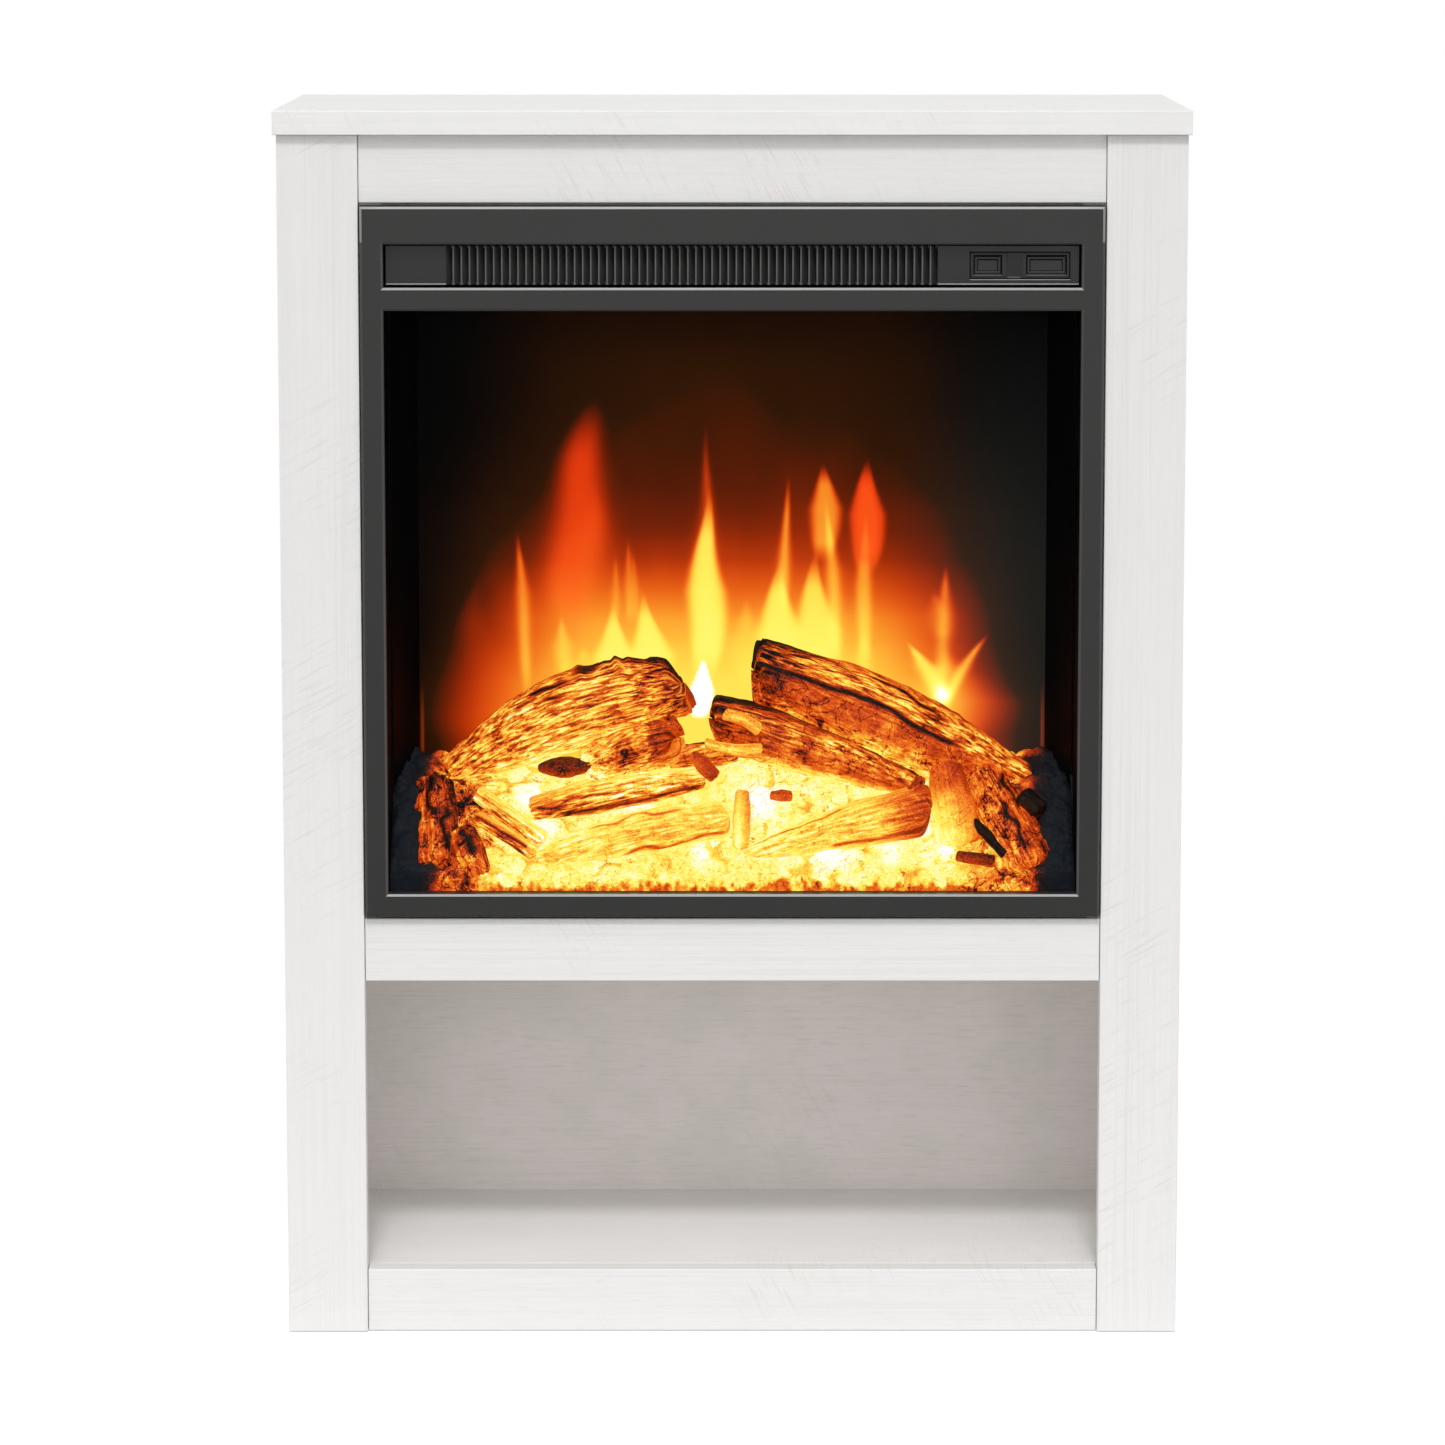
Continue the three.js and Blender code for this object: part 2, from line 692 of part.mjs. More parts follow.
// ---------------------------------------------------------------- heater
const heaterX = grown(ventX, heaterWall + seam);
const heaterY = [casingY[0], casingY[0] + heaterDepth];
const scrollRadius = wheelRadius + scrollClearance;
const blowerY = heaterY[1] + seam + scrollRadius + scrollWall + blowerThroat;
const blowerZ = (shieldZ[1] + ceilingZ) / 2;
const scrollX = [ventX[0] + scrollInsetLeft, ventX[1] - scrollInsetRight];
const wheelX = grown(scrollX, -(scrollWall + wheelEndGap));

/** Steel tunnel between the fan and the louvres, round the heating element. */
function heaterFrame() {
  const z = slotZ;
  const tunnel = box(grown(heaterX, -heaterWall), grown(heaterY, past), grown(z, -heaterWall));
  return piece("heater_frame", galvanised, formed([box(heaterX, heaterY, z)], [tunnel]));
}

/** Finned heating element across the tunnel. */
function heatingElement() {
  const x = grown(heaterX, -(heaterWall + seam));
  const y = centredOn(middle(heaterY), elementDepth);
  const pitch = (x[1] - x[0]) / elementFins;
  const spine = y[0] + elementDepth / 3;
  const points = [
    [x[0], y[1]],
    [x[0], y[0]],
  ];
  for (let i = 0; i < elementFins; i += 1) {
    const start = x[0] + i * pitch;
    const end = start + pitch * elementFinShare;
    points.push([end, y[0]], [end, spine]);
    if (i < elementFins - 1) points.push([start + pitch, spine], [start + pitch, y[0]]);
  }
  points.push([x[1], spine], [x[1], y[1]]);
  const z = grown(slotZ, -(heaterWall + seam));
  return piece("heating_element", ceramic, prismZ(points, z));
}

/** Scroll of the cross-flow fan: roof and back, tongue below, and end plates on feet. */
function blowerHousing() {
  const mouth = heaterY[1] + seam;
  const outer = scrollRadius + scrollWall;
  const roof = new THREE.Shape();
  roof.moveTo(mouth, blowerZ + outer);
  roof.lineTo(blowerY, blowerZ + outer);
  roof.absarc(blowerY, blowerZ, outer, Math.PI / 2, -Math.PI / 6, true);
  roof.absarc(blowerY, blowerZ, scrollRadius, -Math.PI / 6, Math.PI / 2, false);
  roof.lineTo(mouth, blowerZ + scrollRadius);
  const tongueZ = [blowerZ - outer, blowerZ - scrollRadius];
  const tongue = box(scrollX, [mouth, blowerY - scrollRadius / 2], tongueZ);
  const ends = [
    [scrollX[0], scrollX[0] + scrollWall],
    [scrollX[1] - scrollWall, scrollX[1]],
  ].map((x) => box(x, [mouth, blowerY + outer], [shieldZ[1] + seam, blowerZ + outer]));
  const bore = rodX(shaftRadius + shaftClearance, grown(scrollX, past), blowerY, blowerZ, 16);
  return piece("blower_housing", galvanised, formed([prismX(roof, scrollX), tongue, ...ends], [bore]));
}

/** Cross-flow fan wheel: two end discs with a ring of slanted blades between them. */
function blowerWheel() {
  const discs = [
    [wheelX[0], wheelX[0] + wheelDisc],
    [wheelX[1] - wheelDisc, wheelX[1]],
  ].map((x) => rodX(wheelRadius, x, blowerY, blowerZ, 24));
  const blades = Array.from({ length: wheelBlades }, (_, i) => {
    const blade = new THREE.BoxGeometry(wheelX[1] - wheelX[0] - wheelDisc, wheelChord, wheelBladeThickness);
    blade.rotateX(wheelBladeLean).translate(0, wheelRadius - wheelChord / 2 - wheelRim, 0);
    blade.rotateX((i * 2 * Math.PI) / wheelBlades);
    return blade.translate(middle(wheelX), blowerY, blowerZ);
  });
  const bore = rodX(shaftRadius + shaftClearance, grown(wheelX, past), blowerY, blowerZ, 16);
  return piece("blower_wheel", blackPlastic, formed([...discs, ...blades], [bore]));
}

function heater() {
  const group = new THREE.Group();
  const motorX = [scrollX[1] + seam, scrollX[1] + seam + blowerMotorLength];
  const shaftX = [scrollX[0] - shaftStub, motorX[0] + blowerMotorLength / 2];
  const socketX = [motorX[0] - past, shaftX[1] + seam];
  const socket = rodX(shaftRadius + shaftClearance, socketX, blowerY, blowerZ, 16);
  const can = rodX(blowerMotorRadius, motorX, blowerY, blowerZ, 24);
  group.add(
    heaterFrame(),
    heatingElement(),
    blowerHousing(),
    blowerWheel(),
    piece("blower_shaft", brightSteel, rodX(shaftRadius, shaftX, blowerY, blowerZ, 16)),
    piece("blower_motor", galvanised, formed([can], [socket])),
    powerBoard(),
  );
  return group;
}

/** Supply board on four pegs above the heat shield, with its transformer and relays. */
function powerBoard() {
  const x = [scrollX[1] + blowerMotorLength + supplyGap, casingInner - supplyMargin];
  const y = [blowerY + supplyMargin, innerY[1] - supplyMargin];
  const z0 = shieldZ[1] + seam;
  const cardZ = [z0 + pegHeight, z0 + pegHeight + boardPcb];
  const pegs = grown(x, -pegInset).flatMap((px) =>
    grown(y, -pegInset).map((py) => {
      return box(centredOn(px, pegSize), centredOn(py, pegSize), [z0, cardZ[0] + fuse]);
    }),
  );
  const onCard = (x0, y0, [wide, deep, high]) =>
    box([x0, x0 + wide], [y0, y0 + deep], [cardZ[0] + fuse, cardZ[1] + high]);
  const parts = [
    onCard(x[0] + supplyMargin, y[0] + supplyMargin, transformer),
    onCard(x[1] - supplyMargin - relay[0], y[0] + supplyMargin, relay),
  ];
  return piece("power_board", circuitGreen, formed([box(x, y, cardZ), ...pegs, ...parts]));
}

// ---------------------------------------------------------------- flame effect
const bedY = [bulkheadY[1] + bedGap, screenY[0] - seam];
const shoulderZ = floorZ + bedShoulder;
const rotorY = (screenY[1] + innerY[1]) / 2;
const rotorZ = floorZ + rotorRise;
const rotorX = around(casingInner - rotorEndGap);

/** Side wall of the firebox: straight, a small step, then a turn in towards the screen. */
function fireboxWall(name, side) {
  const tall = [floorZ, shieldZ[0] - seam];
  const outline = [
    [wallHalf, casingY[0]],
    [wallHalf, wallBend],
    [wallHalf - wallStep, wallBend],
    [screenReveal, screenY[0] - seam],
    [screenReveal + sheet, screenY[0] - seam],
    [wallHalf + sheet, wallBend + sheet],
    [wallHalf + sheet, casingY[0]],
  ].map(([x, y]) => [side * x, y]);
  const overBed = box(
    around(casingHalf),
    [wallBend - seam, screenY[0] + 1],
    [floorZ - 1, shoulderZ + seam],
  );
  return piece(name, linerBlack, formed([prismZ(outline, tall)], [overBed]));
}

/** Axle bracket: an upright plate with a bore, on the casing's floor. */
function rotorBracket(name, x) {
  const y = centredOn(rotorY, 2 * rotorEar);
  const upright = box(x, y, [floorZ, rotorZ + rotorEar]);
  const foot = box(grown(x, rotorFoot), y, [floorZ, floorZ + bracketSheet]);
  const bore = rodX(shaftRadius + shaftClearance, grown(x, past), rotorY, rotorZ, 16);
  return piece(name, galvanised, formed([upright, foot], [bore]));
}

/** Reflector strips: pairs of small blades on a sleeve, each pair turned from the last. */
function rotorFins() {
  const span = grown(rotorX, -rotorFinMargin);
  const pitch = (span[1] - span[0]) / rotorFinRows;
  const sleeve = rodX(shaftRadius + shaftClearance + rotorSleeve, span, rotorY, rotorZ, 12);
  const fins = Array.from({ length: rotorFinRows }, (_, i) => {
    const fin = new THREE.BoxGeometry(rotorFinWidth, 2 * rotorFinRadius, rotorFinThickness);
    fin.rotateX(i * rotorFinTurn);
    return fin.translate(span[0] + (i + 0.5) * pitch, rotorY, rotorZ);
  });
  const bore = rodX(shaftRadius + shaftClearance, grown(span, past), rotorY, rotorZ, 12);
  return piece("rotor_fins", brightSteel, formed([sleeve, ...fins], [bore]));
}

/** A strip of lamps on the casing's floor: a card with a row of small blocks. */
function ledBoard(name, x, y) {
  const z0 = floorZ;
  const pitch = (x[1] - x[0]) / ledCount;
  const lampZ = [z0 + boardPcb - fuse, z0 + boardPcb + ledHeight];
  const lamps = Array.from({ length: ledCount }, (_, i) =>
    box(centredOn(x[0] + (i + 0.5) * pitch, ledSize), centredOn(middle(y), ledSize), lampZ),
  );
  return piece(name, circuitGreen, formed([box(x, y, [z0, z0 + boardPcb]), ...lamps]));
}

function flameEffect() {
  const group = new THREE.Group();
  const screenZ = [floorZ, shieldZ[0] - seam];
  const emberLampX = around(wallHalf - emberLampMargin);
  const bracketLeft = [rotorX[0] - bracketSheet, rotorX[0]];
  const bracketRight = [rotorX[1], rotorX[1] + bracketSheet];
  const motorX = [bracketRight[1] + seam, bracketRight[1] + seam + rotorMotorLength];
  const axleX = [bracketLeft[0] - shaftStub, motorX[0] + rotorMotorLength / 2];
  const socketX = [motorX[0] - past, axleX[1] + seam];
  const socket = rodX(shaftRadius + shaftClearance, socketX, rotorY, rotorZ, 16);
  const can = rodX(rotorMotorRadius, motorX, rotorY, rotorZ, 24);
  const reflectorY = [casingY[1] - sheet, casingY[1]];
  const reflectorX = around(casingHalf - flange - reflectorGap);
  const reflectorZ = [floorZ + reflectorRise, shieldZ[0] - seam];
  group.add(
    plate("flame_screen", screenFrost, around(casingInner), screenY, screenZ),
    fireboxWall("left_firebox_wall", -1),
    fireboxWall("right_firebox_wall", 1),
    plate("flame_reflector", brightSteel, reflectorX, reflectorY, reflectorZ),
    rotorBracket("rotor_left_bracket", bracketLeft),
    rotorBracket("rotor_right_bracket", bracketRight),
    piece("rotor_axle", brightSteel, rodX(shaftRadius, axleX, rotorY, rotorZ, 16)),
    rotorFins(),
    piece("rotor_motor", galvanised, formed([can], [socket])),
    ledBoard("flame_lamp_board", grown(rotorX, -lampMargin), centredOn(rotorY, lampWidth)),
    ledBoard("ember_lamp_board", emberLampX, centredOn(middle(bedY), emberLampWidth)),
  );
  return group;
}

// ---------------------------------------------------------------- log set
const bedHalf = wallHalf - seam;
const bedZ = [floorZ, shoulderZ];

/** The bed's upper face from front to back as points (depth, height), moved out by a gap. */
function bedFace(gap = 0) {
  const [y0, y1] = bedY;
  return [
    [y0 - gap, floorZ + bedLip + gap],
    [y0 + bedKneeRun - gap, floorZ + bedKnee + gap],
    [y1 - bedFlat - gap, shoulderZ + gap],
    [y1 + gap, shoulderZ + gap],
  ];
}

/** Height of the bed's upper face at a depth. */
function bedHeight(y) {
  const face = bedFace();
  const after = face.slice(1, -1).findIndex(([depth]) => y < depth) + 1 || face.length - 1;
  const [[ya, za], [yb, zb]] = [face[after - 1], face[after]];
  return za + ((zb - za) * (y - ya)) / (yb - ya);
}

/** Moulded shell: front lip, slope up to the level shoulder, and back wall; open below. */
function emberBedShell() {
  const [y0, y1] = bedY;
  const inner = bedFace(-bedShell);
  const profile = [
    [y0, bedZ[0]],
    ...bedFace(),
    [y1, bedZ[0]],
    [y1 - bedShell, bedZ[0]],
    ...inner.reverse(),
    [y0 + bedShell, bedZ[0]],
  ];
  return prismX(profile, around(bedHalf));
}

// Each log: its two ends in shares of the bed (across from the middle to one side, back from
// the front edge to the screen, then up from the bed's face in shoulder heights), and its
// radius at each end, also in shoulder heights. Loose logs lie on the bed, and each gives way
// to those before it.
const looseLogs = [
  ["left_log", [-0.875, 0.68, -0.05], [-0.142, 0.68, 0.67], 0.18, 0.346],
  ["right_log", [0.076, 0.66, 0.85], [0.858, 0.66, 0.03], 0.3, 0.17],
  ["centre_log", [-0.02, 0.5, 0.56], [0.5, 0.5, 0.13], 0.2, 0.18],
];

// Logs, sticks and the heap moulded in one with the bed, each sunk into its slope.
const mouldedLogs = [
  ["left low", [-0.59, 0.42, -0.13], [-0.1, 0.45, 0.12], 0.14, 0.14],
  ["front left", [-0.55, 0.2, -0.14], [-0.03, 0.2, 0.15], 0.16, 0.19],
  ["front right", [0.035, 0.2, -0.19], [0.56, 0.2, 0.18], 0.11, 0.21],
  ["right post", [0.635, 0.42, 0.26], [0.66, 0.2, 0.05], 0.16, 0.18],
  ["right char", [0.745, 0.5, 0.16], [0.86, 0.12, -0.04], 0.18, 0.22],
  ["left end", [-0.88, 0.5, 0.1], [-0.86, 0.15, -0.03], 0.16, 0.18],
  ["left stick", [-0.745, 0.42, 0.05], [-0.6, 0.2, 0.03], 0.08, 0.08],
  ["left block", [-0.79, 0.18, 0.08], [-0.75, 0.1, -0.06], 0.13, 0.13],
  ["knot", [-0.38, 0.5, 0.12], [-0.14, 0.5, 0.4], 0.22, 0.27],
  ["heap", [-0.1, 0.42, -0.04], [0.36, 0.42, -0.06], 0.26, 0.24],
];

/** A tapered round bar between two ends. */
function logShape([, from, to, startRadius, endRadius], grow = 0) {
  const span = [from, to].map(([across, deep, up]) => {
    const y = bedY[0] + deep * (bedY[1] - bedY[0]);
    return new THREE.Vector3(across * bedHalf, y, bedHeight(y) + up * bedShoulder);
  });
  const along = span[1].clone().sub(span[0]);
  const bar = new THREE.CylinderGeometry(
    endRadius * bedShoulder + grow,
    startRadius * bedShoulder + grow,
    along.length() + 2 * grow,
    14,
    1,
  );
  const turn = new THREE.Quaternion().setFromUnitVectors(
    new THREE.Vector3(0, 1, 0),
    along.clone().normalize(),
  );
  const centre = span[0].clone().add(span[1]).multiplyScalar(0.5);
  return bar.applyQuaternion(turn).translate(centre.x, centre.y, centre.z);
}

/** Everything under the bed's upper face, moved out by a gap, and past its edges. */
function underBed(gap) {
  const face = bedFace(gap);
  const front = bedY[0] - bedShoulder;
  const back = bedY[1] + bedShoulder;
  const foot = bedZ[0] - bedShoulder;
  const profile = [
    [front, foot],
    [front, face[0][1]],
    ...face,
    [back, face.at(-1)[1]],
    [back, foot],
  ];
  return prismX(profile, around(bedHalf + bedShoulder));
}

/** The bed with its moulded logs, kept inside the bed's outline in plan. */
function emberBedWithLogs() {
  const outside = box(around(bedHalf), bedY, [bedZ[0], bedZ[1] * 2]);
  const raised = mouldedLogs
    .map((log) => solidOf(logShape(log)))
    .reduce((sum, next) => sum.add(next))
    .intersect(solidOf(outside))
    .subtract(solidOf(underBed(-bedShell / 2)));
  return geometryOf(raised.add(solidOf(emberBedShell())));
}

function logSet() {
  const group = new THREE.Group();
  group.add(piece("ember_bed", resinBed, emberBedWithLogs()));
  const behind = box(
    around(bedHalf + bedShoulder),
    [bedY[1], bedY[1] + bedShoulder],
    [bedZ[0], bedZ[1] + bedShoulder],
  );
  const moulded = mouldedLogs.map((log) => logShape(log, seam));
  looseLogs.forEach((log, i) => {
    const before = looseLogs.slice(0, i).map((other) => logShape(other, seam));
    const shape = formed([logShape(log)], [underBed(seam), behind, ...moulded, ...before]);
    group.add(piece(log[0], resinLog, shape));
  });
  return group;
}

// ---------------------------------------------------------------- assembly
const firebox = new THREE.Group();
firebox.position.set(0, stileFront - fasciaProud, shelfTop);
firebox.add(
  fascia(),
  glassPane(),
  glassGasket(),
  louvresAndControls(),
  casing(),
  fixing("left", -1),
  fixing("right", 1),
  heater(),
  flameEffect(),
  logSet(),
);

const fireplace = new THREE.Group();
fireplace.add(surround(), firebox);

export default fireplace;
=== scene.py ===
"""Electric fireplace in a whitewashed surround: finishes and fine surfaces round the frame."""

import logging
import math
from dataclasses import dataclass, field
from enum import Enum
from functools import cache, reduce
from typing import Iterable, Sequence

import bpy
import numpy as np
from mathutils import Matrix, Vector


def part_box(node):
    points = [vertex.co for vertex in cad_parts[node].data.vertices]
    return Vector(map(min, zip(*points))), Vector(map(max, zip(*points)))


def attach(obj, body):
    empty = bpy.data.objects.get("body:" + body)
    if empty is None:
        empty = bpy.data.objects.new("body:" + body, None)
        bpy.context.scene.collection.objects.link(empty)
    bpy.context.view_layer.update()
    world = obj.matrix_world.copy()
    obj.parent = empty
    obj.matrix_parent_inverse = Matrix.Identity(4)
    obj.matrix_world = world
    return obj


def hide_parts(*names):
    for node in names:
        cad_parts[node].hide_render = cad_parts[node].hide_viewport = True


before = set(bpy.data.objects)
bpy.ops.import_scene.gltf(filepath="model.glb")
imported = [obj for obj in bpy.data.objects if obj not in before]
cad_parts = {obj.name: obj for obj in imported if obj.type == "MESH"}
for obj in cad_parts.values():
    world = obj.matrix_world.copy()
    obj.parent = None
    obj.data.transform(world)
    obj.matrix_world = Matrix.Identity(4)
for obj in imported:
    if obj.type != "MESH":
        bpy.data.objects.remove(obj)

log = logging.getLogger("fireplace")

MM = 0.001
STATIC = "surround"
Array = np.ndarray
Triple = tuple[float, float, float]
Colour = Triple
Faces = list[tuple[int, ...]]
Socket = bpy.types.NodeSocket

# Points closer than this are made one.
WELD = 0.0005 * MM
# Smallest radius of a stack's corners, and the points in each.
SHARPEST_CORNER = 0.15 * MM
CORNER_POINTS = 6
# Rows that close each end of a log, and the angle of the first.
CAP_ROWS = 12
CAP_START = 0.05
# Large primes that scatter a cell's hash, and the bits that are kept on the way and at last.
CELL_PRIMES = (73856093, 19349663, 83492791)
SEED_PRIME = 2654435761
MIXING_PRIME = 1274126177
HASH_BITS = 0x7FFFFFFF
VALUE_BITS = 0xFFFF


# ------------------------ numbers on whole arrays
def value_noise(points: Array, seed: int = 0) -> Array:
    """Smooth noise from 0 to 1 at each point.

    Each unit cell's eight corners hold a hashed value, and a point blends them by
    3t^2 - 2t^3 of its place in the cell on each axis.

    Args:
        points: places, (..., 3).
        seed: another seed gives another pattern.

    Returns:
        The noise at each point, (...).
    """
    cell = np.floor(points).astype(np.int64)
    part = points - cell
    part = part * part * (3.0 - 2.0 * part)
    total = np.zeros(points.shape[:-1])
    for corner in np.ndindex(2, 2, 2):
        at = cell + np.array(corner)
        mixed = np.bitwise_xor.reduce(at * np.array(CELL_PRIMES), axis=-1)
        mixed = (mixed + seed * SEED_PRIME) & HASH_BITS
        mixed = ((mixed ^ (mixed >> 13)) * MIXING_PRIME) & HASH_BITS
        value = ((mixed ^ (mixed >> 16)) & VALUE_BITS) / VALUE_BITS
        weight = np.where(np.array(corner) == 1, part, 1.0 - part).prod(axis=-1)
        total += value * weight
    return total


def layered_noise(points: Array, layers: int, seed: int = 0) -> Array:
    """Sum of value noise at doubling scales with halving weights, from 0 to 1.

    Args:
        points: places, (..., 3).
        layers: how many scales are summed.
        seed: another seed gives another pattern.

    Returns:
        The noise at each point, (...).
    """
    total, weight, whole = 0.0, 1.0, 0.0
    for layer in range(layers):
        total = total + weight * value_noise(points * 2.0**layer, seed + 17 * layer)
        whole += weight
        weight *= 0.5
    return total / whole


def chunk_noise(points: Array, seed: int = 0) -> tuple[Array, Array]:
    """Lumps: the distance to the nearest of one scattered centre per cell.

    Args:
        points: places in the plane, (..., 2).
        seed: another seed scatters the centres another way.

    Returns:
        The distance, and a value from 0 to 1 that is the same all over one lump.
    """
    cell = np.floor(points).astype(np.int64)
    nearest = np.full(points.shape[:-1], 9.0)
    owner = np.zeros(points.shape[:-1])
    for step in np.ndindex(3, 3):
        at = cell + np.array(step) - 1
        flat = np.concatenate([at, np.zeros_like(at[..., :1])], axis=-1).astype(float)
        away_x = at[..., 0] + value_noise(flat, seed + 3) - points[..., 0]
        away_y = at[..., 1] + value_noise(flat, seed + 5) - points[..., 1]
        distance = np.hypot(away_x, away_y)
        closer = distance < nearest
        nearest = np.where(closer, distance, nearest)
        owner = np.where(closer, value_noise(flat, seed + 7), owner)
    return nearest, owner


def ease(low: float, high: float, value: Array) -> Array:
    """A smooth step from 0 at low to 1 at high."""
    t = np.clip((value - low) / (high - low), 0.0, 1.0)
    return t * t * (3.0 - 2.0 * t)


@dataclass(frozen=True)
class Stop:
    """One colour of glow: the heat it stands for, and its light."""

    heat: float
    light: Colour


HOTTEST = 1.2
GLOW = (
    Stop(0.0, (0.0, 0.0, 0.0)),
    Stop(0.12, (0.026, 0.006, 0.0)),
    Stop(0.20, (0.15, 0.012, 0.0)),
    Stop(0.28, (0.32, 0.022, 0.0)),
    Stop(0.36, (0.50, 0.04, 0.001)),
    Stop(0.44, (0.67, 0.073, 0.003)),
    Stop(0.52, (0.79, 0.125, 0.006)),
    Stop(0.60, (0.87, 0.21, 0.013)),
    Stop(0.68, (0.93, 0.33, 0.024)),
    Stop(0.76, (0.96, 0.48, 0.04)),
    Stop(0.84, (0.98, 0.67, 0.065)),
    Stop(0.92, (0.99, 0.84, 0.11)),
    Stop(1.0, (1.0, 0.95, 0.20)),
    Stop(HOTTEST, (1.0, 1.0, 1.0)),
)


def heat_colours(heat: Array) -> Array:
    """Colour of glow from cold black through red, orange and yellow to white.

    Args:
        heat: temperature from 0, black, over 1, pale yellow, to the hottest, white, (...).

    Returns:
        Linear colours with an alpha of 1, (..., 4).
    """
    at = [stop.heat for stop in GLOW]
    levels = [np.interp(heat, at, [stop.light[k] for stop in GLOW]) for k in range(3)]
    return np.stack([*levels, np.ones_like(levels[0])], axis=-1)


# ------------------------ meshes from arrays
@dataclass
class Surface:
    """Points and faces of one piece, which faces are smooth, and what each point carries.

    The glow holds a row for each point, or one for each corner of each face.
    """

    points: Array
    faces: Faces
    smooth: list[bool]
    glow: Array | None = None
    bark: Array | None = None

    def joined(self, other: "Surface") -> "Surface":
        """This surface and another, both bare, as one.

        Args:
            other: the surface to add.

        Returns:
            The two as one surface.
        """
        shift = len(self.points)
        moved = [tuple(i + shift for i in face) for face in other.faces]
        points = np.concatenate([self.points, other.points])
        return Surface(points, self.faces + moved, self.smooth + other.smooth)


def as_faces(quads: Array) -> Faces:
    """Rows of point numbers as faces."""
    return [tuple(quad) for quad in quads.tolist()]


def rim(columns: int, rows: int) -> Array:
    """The outer points of a grid in order: up in the first index, then round."""
    index = np.arange(columns * rows).reshape(columns, rows)
    return np.concatenate([index[:-1, 0], index[-1, :-1], index[:0:-1, -1], index[0, :0:-1]])


def grid_faces(rows: int, columns: int, around: bool = False) -> Faces:
    """Quads of a grid of points that are numbered row by row.

    Args:
        rows: points from first to last row.
        columns: points in a row.
        around: whether the last column joins the first.

    Returns:
        The quads, turning the same way all over.
    """
    row = np.arange(rows - 1)[:, None]
    column = np.arange(columns if around else columns - 1)[None, :]
    following = (column + 1) % columns
    a, b = row * columns + column, row * columns + following
    return as_faces(np.stack([a, b, b + columns, a + columns], axis=-1).reshape(-1, 4))


def backed(sheet: Array, columns: int, rows: int, back: Array) -> tuple[Array, Faces]:
    """Closes a grid of points with a wall round its edge and one flat face behind it.

    Args:
        sheet: points of the grid, row by row.
        columns: how many points the first index counts.
        rows: how many points the second index counts.
        back: a point behind each point of the rim, in the rim's order.

    Returns:
        All the points, and all the faces, turned outwards.
    """
    edge = rim(columns, rows)
    beyond = len(sheet) + np.arange(len(edge))
    wall = np.stack([edge, beyond, np.roll(beyond, -1), np.roll(edge, -1)], axis=-1)
    faces = [quad[::-1] for quad in grid_faces(columns, rows)]
    faces += as_faces(wall) + [tuple(beyond[::-1].tolist())]
    return np.concatenate([sheet, back]), faces


def rounded_box(low: Array, high: Array, radius: float, steps: int = 3) -> Surface:
    """A box with round edges and corners.

    A point on the plain box is drawn to the nearest point of the box that is smaller by the
    radius all round, and pushed out again by the radius along the line between the two.

    Args:
        low: lowest corner.
        high: highest corner.
        radius: radius of the edges.
        steps: faces in each quarter turn's half.

    Returns:
        One closed surface, with its six large faces flat.
    """
    low, high = np.asarray(low, float), np.asarray(high, float)
    arc = radius * np.tan(np.linspace(math.pi / 4, 0.0, steps + 1))
    lines = [
        np.concatenate([low[k] + radius - arc, (high[k] - radius + arc)[::-1]]) for k in range(3)
    ]
    points, faces, smooth = [], [], []
    for axis, side in np.ndindex(3, 2):
        u, v = (axis + 1) % 3, (axis + 2) % 3
        grid = np.empty((len(lines[u]), len(lines[v]), 3))
        grid[..., u], grid[..., v] = np.meshgrid(lines[u], lines[v], indexing="ij")
        grid[..., axis] = (low, high)[side][axis]
        core = np.clip(grid, low + radius, high - radius)
        out = grid - core
        out /= np.linalg.norm(out, axis=-1, keepdims=True)
        shift = sum(len(p) for p in points)
        quads = np.array(grid_faces(*grid.shape[:2])) + shift
        quads = quads if side == 0 else quads[:, ::-1]
        middle = np.zeros((grid.shape[0] - 1, grid.shape[1] - 1), bool)
        middle[steps, steps] = True
        points.append((core + radius * out).reshape(-1, 3))
        faces += as_faces(quads)
        smooth += (~middle.reshape(-1)).tolist()
    return merged(Surface(np.concatenate(points), faces, smooth))


def merged(surface: Surface) -> Surface:
    """A bare surface with points that share a place made one.

    Args:
        surface: a surface without glow or bark.

    Returns:
        The same faces on fewer points.
    """
    keys = np.round(surface.points / WELD).astype(np.int64)
    _, first, owner = np.unique(keys, axis=0, return_index=True, return_inverse=True)
    owner = owner.reshape(-1).tolist()
    faces = [tuple(owner[i] for i in face) for face in surface.faces]
    return Surface(surface.points[first], faces, surface.smooth)


